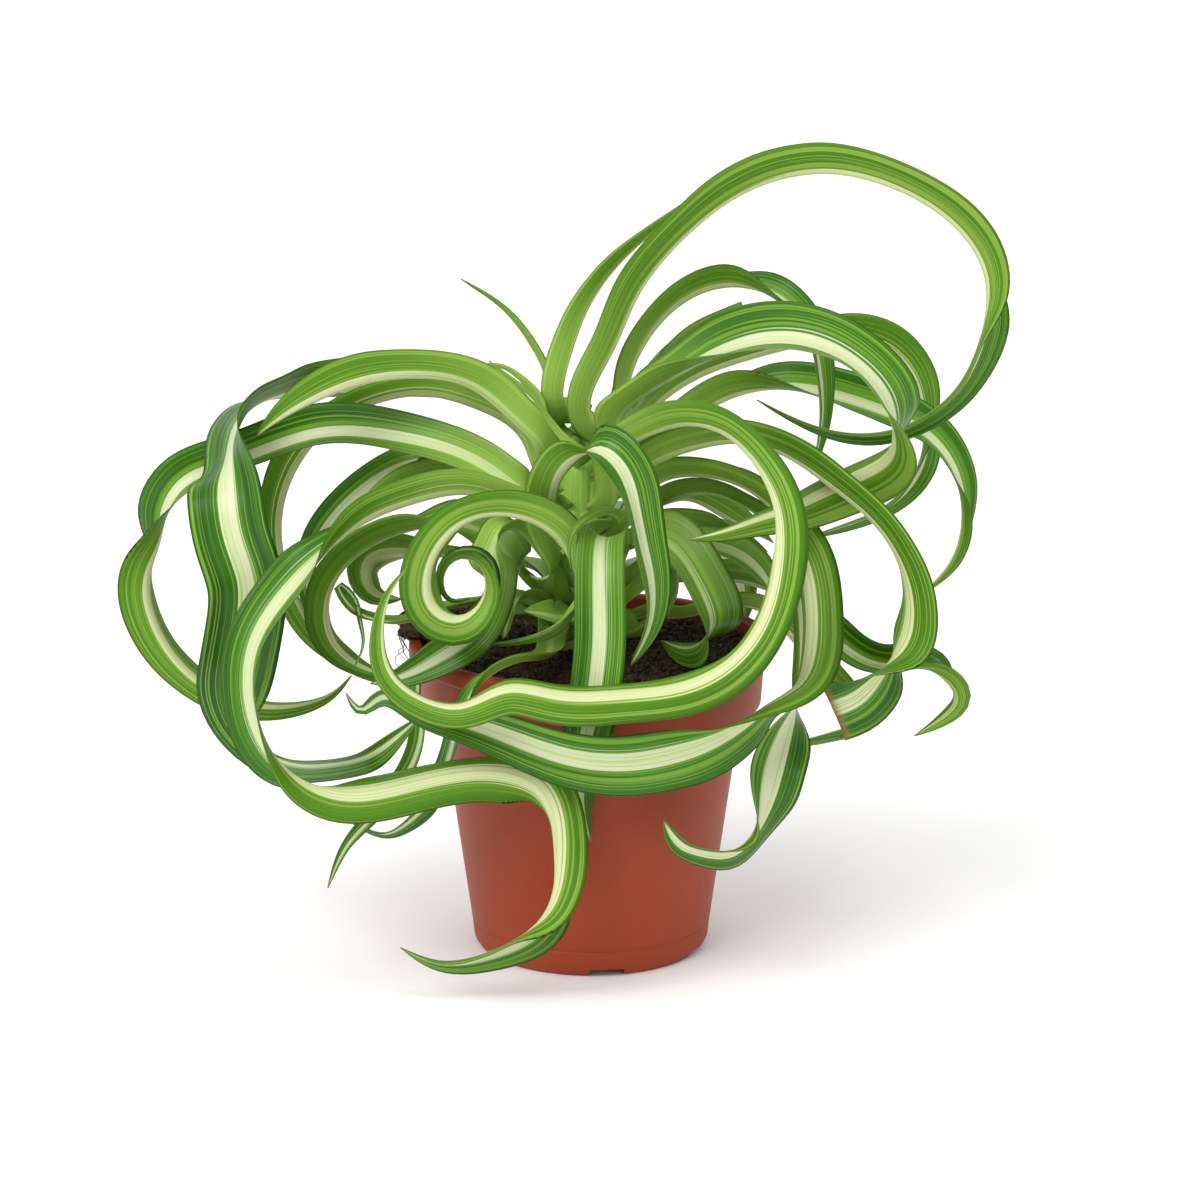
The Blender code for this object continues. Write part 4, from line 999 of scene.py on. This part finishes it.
def make_pot(material):
    """The pot: a turned shell with a rolled rim, a collar, a witness line and drain notches in its foot."""
    shoulder = POT_HEIGHT - COLLAR_HEIGHT
    outline = [
        (RIM_RADIUS - 1.2, POT_HEIGHT), (RIM_RADIUS, POT_HEIGHT - 1.2),
        (RIM_RADIUS, POT_HEIGHT - RIM_HEIGHT + 1.0),
        (RIM_RADIUS - 1.0, POT_HEIGHT - RIM_HEIGHT), (COLLAR_RADIUS, POT_HEIGHT - RIM_HEIGHT - 0.4),
        (COLLAR_RADIUS - 1, shoulder + 1), (COLLAR_RADIUS - 2, shoulder), (WALL_TOP_RADIUS, shoulder - 1),
        (wall_radius(9.2), 9.2), (wall_radius(9.0) - 0.25, 8.9), (wall_radius(8.6), 8.6),
        (FOOT_RADIUS + 0.6, 3.0), (FOOT_RADIUS - 1.4, 0.0),
        (FOOT_RADIUS - 5.0, 0.0), (FOOT_RADIUS - 6.0, 1.1), (22.0, 1.1), (21.0, 0.0), (0.0, 0.0),
        (0.0, FLOOR_THICKNESS), (FOOT_RADIUS - WALL - 1, FLOOR_THICKNESS),
        (wall_radius(3.0) - WALL, FLOOR_THICKNESS + 1.5), (WALL_TOP_RADIUS - WALL, shoulder),
        (COLLAR_RADIUS - 1 - WALL, shoulder + 2), (COLLAR_RADIUS - WALL, POT_HEIGHT - 1.0),
        (COLLAR_RADIUS - WALL + 0.8, POT_HEIGHT),
    ]
    pot = turned_mesh("nursery_pot", rounded(outline), POT_STEPS, (material,))
    cutters = []
    for k in range(NOTCH_COUNT):
        turn = NOTCH_TURN + k * 2 * math.pi / NOTCH_COUNT
        shape = bmesh.new()
        bmesh.ops.create_cube(shape, size=1)
        size = (NOTCH_DEPTH * MM, NOTCH_WIDTH * MM, 2 * NOTCH_HEIGHT * MM)
        bmesh.ops.scale(shape, verts=shape.verts, vec=size)
        bmesh.ops.bevel(shape, geom=shape.edges, offset=0.9 * MM, segments=3, affect="EDGES", profile=0.5)
        cutter = placed(f"notch_{k}", mesh_of(shape, f"notch_{k}"))
        cutter.location = (NOTCH_AT * math.cos(turn) * MM, NOTCH_AT * math.sin(turn) * MM, 0)
        cutter.rotation_euler.z = turn
        cut = pot.modifiers.new(f"notch_{k}", "BOOLEAN")
        cut.operation = "DIFFERENCE"
        cut.object = cutter
        cutters.append(cutter)
    bpy.context.view_layer.update()
    bake(pot)
    for cutter in cutters:
        bpy.data.objects.remove(cutter, do_unlink=True)
    shape = bmesh.new()
    shape.from_mesh(pot.data)
    bmesh.ops.recalc_face_normals(shape, faces=shape.faces)
    shape.to_mesh(pot.data)
    shape.free()
    pot.data.shade_smooth()
    pot.data.set_sharp_from_angle(angle=math.radians(40))
    settle(pot, "pot")


def soil_height(x, y):
    """Height of the soil's surface, with its clods."""
    from_lump = math.hypot(x - SOIL_MOUND_AT[0], y - SOIL_MOUND_AT[1]) / SOIL_MOUND_SPREAD
    edge = min(1.0, math.hypot(x, y) / WALL_TOP_RADIUS)
    level = SOIL_CENTRE + (SOIL_EDGE - SOIL_CENTRE) * edge**2 + SOIL_MOUND * math.exp(-from_lump**2)
    clods = noise.fractal(Vector((x * 0.16, y * 0.16, 3.0)), 0.9, 2.1, 4)
    return level + CLOD_HEIGHT * clods


def scatter_tree(name, crumb_material, count_name):
    """Geometry Nodes: crumbs of random size and turn, strewn over the faces that look up."""
    tree = bpy.data.node_groups.new(name, "GeometryNodeTree")
    tree.interface.new_socket("Geometry", in_out="INPUT", socket_type="NodeSocketGeometry")
    density = tree.interface.new_socket(count_name, in_out="INPUT", socket_type="NodeSocketFloat")
    density.default_value = 300000.0
    size = tree.interface.new_socket("Crumb size", in_out="INPUT", socket_type="NodeSocketFloat")
    size.default_value = 0.0011
    tree.interface.new_socket("Geometry", in_out="OUTPUT", socket_type="NodeSocketGeometry")
    entry = add_node(tree, "NodeGroupInput")
    normal = add_node(tree, "GeometryNodeInputNormal")
    upward = add_node(tree, "ShaderNodeSeparateXYZ", {"Vector": normal.outputs["Normal"]})
    facing_up = add_node(tree, "FunctionNodeCompare", {
        0: upward.outputs["Z"], 1: CRUMB_SLOPE}, data_type="FLOAT", operation="GREATER_THAN")
    points = add_node(tree, "GeometryNodeDistributePointsOnFaces", {
        "Mesh": entry.outputs["Geometry"], "Selection": facing_up.outputs["Result"],
        "Density": entry.outputs[count_name], "Seed": 7})
    crumb = add_node(tree, "GeometryNodeMeshIcoSphere", {
        "Radius": entry.outputs["Crumb size"], "Subdivisions": 1})
    lumpy = add_node(tree, "ShaderNodeTexNoise", {"Scale": 900.0, "Detail": 1.0})
    push = add_node(tree, "ShaderNodeVectorMath", {
        0: lumpy.outputs["Color"], 1: (0.0012, 0.0012, 0.0008)}, operation="MULTIPLY")
    crumb = add_node(tree, "GeometryNodeSetPosition", {
        "Geometry": crumb.outputs["Mesh"], "Offset": push.outputs["Vector"]})
    turn = add_node(tree, "FunctionNodeRandomValue", {
        0: (0.0, 0.0, 0.0), 1: (6.3, 6.3, 6.3), "Seed": 3}, data_type="FLOAT_VECTOR")
    big = add_node(tree, "FunctionNodeRandomValue", {
        2: CRUMB_SMALLEST, 3: CRUMB_LARGEST, "Seed": 5}, data_type="FLOAT")
    strewn = add_node(tree, "GeometryNodeInstanceOnPoints", {
        "Points": points.outputs["Points"], "Instance": crumb.outputs["Geometry"],
        "Rotation": turn.outputs["Value"], "Scale": big.outputs[1]})
    real = add_node(tree, "GeometryNodeRealizeInstances", {"Geometry": strewn.outputs["Instances"]})
    coloured = add_node(tree, "GeometryNodeSetMaterial", {
        "Geometry": real.outputs["Geometry"], "Material": crumb_material})
    leave = add_node(tree, "NodeGroupOutput")
    tree.links.new(coloured.outputs["Geometry"], leave.inputs["Geometry"])
    return tree


def set_input(modifier, label, value):
    """Sets a modifier's input by the identifier of the socket with that label."""
    for item in modifier.node_group.interface.items_tree:
        if item.item_type == "SOCKET" and item.in_out == "INPUT" and item.name == label:
            modifier[item.identifier] = value


def strew(thing, material, settings):
    """The thing becomes the loose crumbs that lie on its faces that look up."""
    modifier = thing.modifiers.new("strewn", "NODES")
    modifier.node_group = scatter_tree("strewn_crumbs", material, "Crumbs per square metre")
    set_input(modifier, "Crumbs per square metre", settings.crumb_density)
    set_input(modifier, "Crumb size", settings.crumb_size)
    bpy.context.view_layer.update()
    bake(thing)
    settle_loose(thing)


def make_clods(settings, material):
    """Clods of peat heaped on the lump at the left, out over the rim, and their own loose crumbs."""
    shape = bmesh.new()
    for k in range(CLOD_COUNT):
        # each further out than the last, and smaller
        turn = CLOD_TURN * k
        spread = CLODS_REACH * math.sqrt((k + 0.5) / CLOD_COUNT)
        size = CLOD_LARGEST - CLOD_SHRINK * k / CLOD_COUNT
        middle = Vector((
            CLODS_AT[0] + spread * math.cos(turn), CLODS_AT[1] + CLODS_LONGER * spread * math.sin(turn),
            CLODS_AT[2] + CLOD_HEIGHT * math.sin(3.1 * k)))
        ball = bmesh.ops.create_icosphere(shape, subdivisions=3, radius=1.0)
        for vertex in ball["verts"]:
            lumpy = 1 + CLOD_LUMPS * noise.fractal(vertex.co * 1.6 + Vector((k * 3.7, 0, 0)), 0.8, 2.1, 4)
            vertex.co = (middle + vertex.co * size * lumpy) * MM
    mesh = mesh_of(shape, "peat_clods")
    mesh.shade_smooth()
    mesh.materials.append(material)
    settle_loose(placed("peat_clods", mesh))
    strew(placed("clod_crumbs", mesh.copy()), material, settings)


def make_soil(settings, material):
    """The soil: a lumpy solid under loose crumbs."""
    low = FLOOR_THICKNESS + 0.3
    shoulder = POT_HEIGHT - COLLAR_HEIGHT
    gap = WALL + 0.5
    steps = SOIL_STEPS
    levels = SOIL_LEVELS
    rings = [(FOOT_RADIUS - gap - 1.4, low), (wall_radius(3.0) - gap, low + 2.5),
             (WALL_TOP_RADIUS - gap, shoulder), (COLLAR_RADIUS - 1 - gap, shoulder + 4)]
    vertices = []
    for radius, height in rings:
        for k in range(steps):
            turn = 2 * math.pi * k / steps
            vertices.append((radius * math.cos(turn), radius * math.sin(turn), height))
    top = COLLAR_RADIUS - 1 - gap
    for j in range(levels):
        radius = top * (1 - j / levels) * 0.995  # the first is just within the ring below it
        for k in range(steps):
            turn = 2 * math.pi * k / steps
            x, y = radius * math.cos(turn), radius * math.sin(turn)
            vertices.append((x, y, soil_height(x, y)))
    count = len(rings) + levels
    faces = ring_faces(count, steps)
    vertices.append((0.0, 0.0, soil_height(0, 0)))
    for k in range(steps):
        faces.append(((count - 1) * steps + k, (count - 1) * steps + (k + 1) % steps, len(vertices) - 1))
    soil = mesh_object("peat_bed", vertices, faces, (material,))
    settle(soil, "soil")
    make_clods(settings, material)

    first = len(rings) * steps
    surface = [tuple(i - first for i in face) for face in faces if min(face) >= first]
    crumbs = mesh_object("peat_crumbs", vertices[first:], surface, (material,))
    strew(crumbs, material, settings)


def make_roots(material):
    """Root strands that hang from the lump of soil over the rim at the left."""
    strands = bpy.data.curves.new("root_strands", "CURVE")
    strands.dimensions = "3D"
    strands.bevel_depth = ROOT_RADIUS * MM
    strands.bevel_resolution = 2
    strands.use_fill_caps = True
    for k in range(ROOT_COUNT):
        turn = math.radians(ROOTS_TURN + ROOTS_SPREAD * math.sin(2.3 * k))
        drop = ROOT_SHORTEST + ROOT_LONGER * abs(math.sin(2.7 * k + 0.6))
        line = strands.splines.new("POLY")
        line.points.add(ROOT_STEPS - 1)
        for j in range(ROOT_STEPS):
            share = j / (ROOT_STEPS - 1)
            # it runs out over the rim first, then falls
            out = min(1.0, share / 0.45)
            fall = max(0.0, (share - 0.35) / 0.65)
            sway = noise.noise(Vector((share * 5.0, k * 1.9, 0.0))) * ROOT_SWAY * share
            radius = ROOT_START + ROOT_REACH * out + sway
            level = ROOT_LEVEL - ROOT_DIP * out - drop * fall**1.4
            place = (radius * math.cos(turn) * MM, (radius * math.sin(turn) + sway) * MM, level * MM, 1.0)
            line.points[j].co = place
            line.points[j].radius = 1.2 - 0.8 * share  # it thins towards its end
    roots = placed("root_strands", strands)
    bpy.context.view_layer.update()
    mesh = bpy.data.meshes.new_from_object(roots.evaluated_get(bpy.context.evaluated_depsgraph_get()))
    bpy.data.objects.remove(roots, do_unlink=True)
    mesh.materials.clear()
    mesh.materials.append(material)
    settle_loose(placed("root_strands", mesh))


def make_crown(material):
    """The crown: a column of clasped leaf bases, each a raised sheath that ends where its blade leaves."""
    steps, levels = CROWN_STEPS, CROWN_LEVELS
    low, high = SOIL_CENTRE - 2.0, CROWN_TOP
    sheaths = [(math.radians(row["turn"]), row["height"]) for row in LEAVES.values()]
    vertices, layout = [], []
    for j in range(levels + 1):
        height = low + (high - low) * j / levels
        for k in range(steps):
            turn = 2 * math.pi * k / steps
            radius = float(crown_radius(height)) - SHEATH_SUNK
            proud = 0.0
            for at, top in sheaths:
                off = math.atan2(math.sin(turn - at), math.cos(turn - at))
                if abs(off) < SHEATH_SPREAD and height < top + 3:
                    across = math.cos(off / SHEATH_SPREAD * math.pi / 2) ** 0.7
                    rise = blend_in(height, top - SHEATH_LENGTH, top - 3)
                    rise = rise * (1 - blend_in(height, top - 0.5, top + 3))
                    proud = max(proud, float(SHEATH_PROUD * across * rise))
            radius += proud + 0.12 * math.sin(turn * 31) * math.sin(turn * 7)  # fine upright ribs
            radius *= 1 - 0.55 * float(blend_in(height, high - 5, high))  # it closes in at the top
            x, y = CROWN_AT[0] + radius * math.cos(turn), CROWN_AT[1] + radius * math.sin(turn)
            vertices.append((x, y, height))
            layout.append((k / steps, j / levels))
    faces = ring_faces(levels + 1, steps)
    faces.append(tuple(levels * steps + k for k in range(steps)))
    crown = mesh_object("clasped_crown", vertices, faces, (material,))
    set_layout(crown.data, "column", layout)
    settle(crown, "crown")


# ---------------------------------------------------------------- the add-on


class SpiderPlantSettings(bpy.types.PropertyGroup):
    """Sizes and colours of the plant."""

    blade_thickness: bpy.props.FloatProperty(
        name="Blade thickness", description="Thickness of a leaf half way to its margin",
        default=0.0006, min=0.0002, max=0.002, unit="LENGTH", precision=5)
    ripple: bpy.props.FloatProperty(
        name="Margin ripple", description="How far the margins wave up and down",
        default=0.0022, min=0.0, max=0.006, unit="LENGTH", precision=5)
    station_spacing: bpy.props.FloatProperty(
        name="Station spacing", description="Distance between a blade's cross sections",
        default=0.0022, min=0.001, max=0.01, unit="LENGTH", precision=5)
    columns: bpy.props.IntProperty(
        name="Columns", description="Faces across a blade, an even number", default=14, min=6, max=40)
    crumb_density: bpy.props.FloatProperty(
        name="Crumb density", description="Loose crumbs per square metre of soil", default=420000.0, min=0.0)
    crumb_size: bpy.props.FloatProperty(
        name="Crumb size", description="Radius of a middling crumb",
        default=0.0008, unit="LENGTH", precision=5)
    deep_green: bpy.props.FloatVectorProperty(
        name="Deep green", description="Darkest green of a blade", subtype="COLOR",
        default=linear("#1C4A02")[:3])
    fresh_green: bpy.props.FloatVectorProperty(
        name="Fresh green", description="Light green of a blade", subtype="COLOR",
        default=linear("#478C0C")[:3])
    pale_green: bpy.props.FloatVectorProperty(
        name="Pale green", description="Colour of the thin light lines", subtype="COLOR",
        default=linear("#96C240")[:3])
    cream: bpy.props.FloatVectorProperty(
        name="Cream", description="Colour of the midrib stripe", subtype="COLOR",
        default=linear("#CDD2AA")[:3])
    pot_colour: bpy.props.FloatVectorProperty(
        name="Pot", description="Colour of the pot's plastic", subtype="COLOR", default=linear("#963A18")[:3])
    floor_colour: bpy.props.FloatVectorProperty(
        name="Floor", description="Colour of the floor", subtype="COLOR", default=linear("#FFFFFF")[:3])


class SPIDERPLANT_OT_pot(bpy.types.Operator):
    """Build the nursery pot"""

    bl_idname = "spiderplant.pot"
    bl_label = "Nursery pot"

    def execute(self, context):
        settings = context.scene.spider_plant
        make_pot(plastic_material((*settings.pot_colour, 1.0)))
        return {"FINISHED"}


class SPIDERPLANT_OT_soil(bpy.types.Operator):
    """Build the peat with its loose crumbs and roots"""

    bl_idname = "spiderplant.soil"
    bl_label = "Peat"

    def execute(self, context):
        settings = context.scene.spider_plant
        make_soil(settings, peat_material())
        make_roots(fibre_material())
        return {"FINISHED"}


class SPIDERPLANT_OT_crown(bpy.types.Operator):
    """Build the column of clasped leaf bases"""

    bl_idname = "spiderplant.crown"
    bl_label = "Crown"

    def execute(self, context):
        make_crown(crown_material())
        return {"FINISHED"}


class SPIDERPLANT_OT_leaves(bpy.types.Operator):
    """Build every leaf of the table"""

    bl_idname = "spiderplant.leaves"
    bl_label = "Leaves"

    def execute(self, context):
        settings = context.scene.spider_plant
        colours = [(*tint, 1.0) for tint in (
            settings.deep_green, settings.fresh_green, settings.pale_green, settings.cream)]
        upper = leaf_material("leaf_upper_face", *colours, False)
        under = leaf_material("leaf_under_face", linear("#35650C"), linear("#6A9A20"),
                              linear("#A4C056"), linear("#CACFA0"), True)
        for name, row in LEAVES.items():
            leaf = make_leaf(name, row, settings, upper, under)
            settle(leaf, name)
        return {"FINISHED"}


class SPIDERPLANT_OT_stage(bpy.types.Operator):
    """Set the floor, the lights and the camera"""

    bl_idname = "spiderplant.stage"
    bl_label = "Stage"

    def execute(self, context):
        settings = context.scene.spider_plant
        floor_material = bpy.data.materials.new("white_paper")
        floor_material.use_nodes = True
        shader = floor_material.node_tree.nodes["Principled BSDF"]
        shader.inputs["Base Color"].default_value = (*settings.floor_colour, 1)
        shader.inputs["Roughness"].default_value = 0.9
        edge = 6000.0
        corners = [(-edge, -edge, 0), (edge, -edge, 0), (edge, edge, 0), (-edge, edge, 0)]
        floor = mesh_object("paper_floor", corners, [(0, 1, 2, 3)], (floor_material,))

        world = bpy.data.worlds.new("studio")
        context.scene.world = world
        world.use_nodes = True
        world.node_tree.nodes["Background"].inputs["Color"].default_value = (1, 1, 1, 1)
        world.node_tree.nodes["Background"].inputs["Strength"].default_value = 0.82
        context.scene.view_settings.view_transform = "Standard"
        lamps = (
            ("key", "SUN", (-0.9, -1.1, 1.35), math.radians(35), 1.7),
            ("softbox", "AREA", (0.3, -0.5, 1.5), 0.8, 5.0),
        )
        for name, kind, at, spread, power in lamps:
            light = bpy.data.lights.new(name, kind)
            light.energy = power
            if kind == "SUN":
                light.angle = spread
            else:
                light.size = spread
            lamp = placed(name, light)
            lamp.location = at
            aim = Vector((0.0, 0.0, 0.13)) - Vector(at)
            lamp.rotation_euler = aim.to_track_quat("-Z", "Y").to_euler()

        eye = bpy.data.cameras.new("eye")
        eye.lens = EYE_LENS
        eye.sensor_width = 36.0
        camera = placed("eye", eye)
        camera.location = EYE * MM
        camera.rotation_euler = (EYE_TILT, 0.0, 0.0)
        context.scene.camera = camera
        return {"FINISHED"}


class SPIDERPLANT_PT_panel(bpy.types.Panel):
    """Sidebar panel of the spider plant"""

    bl_idname = "SPIDERPLANT_PT_panel"
    bl_label = "Spider plant"
    bl_space_type = "VIEW_3D"
    bl_region_type = "UI"
    bl_category = "Spider plant"

    def draw(self, context):
        settings = context.scene.spider_plant
        for key in SpiderPlantSettings.__annotations__:
            self.layout.prop(settings, key)
        for operator in OPERATORS:
            self.layout.operator(operator.bl_idname)


OPERATORS = (SPIDERPLANT_OT_pot, SPIDERPLANT_OT_soil, SPIDERPLANT_OT_crown, SPIDERPLANT_OT_leaves,
             SPIDERPLANT_OT_stage)
CLASSES = (SpiderPlantSettings, *OPERATORS, SPIDERPLANT_PT_panel)


def register():
    for item in CLASSES:
        bpy.utils.register_class(item)
    bpy.types.Scene.spider_plant = bpy.props.PointerProperty(type=SpiderPlantSettings)


def unregister():
    del bpy.types.Scene.spider_plant
    for item in reversed(CLASSES):
        bpy.utils.unregister_class(item)


def main():
    register()
    bpy.ops.spiderplant.stage()
    bpy.ops.spiderplant.pot()
    bpy.ops.spiderplant.soil()
    bpy.ops.spiderplant.crown()
    bpy.ops.spiderplant.leaves()


if __name__ == "__main__":
    main()
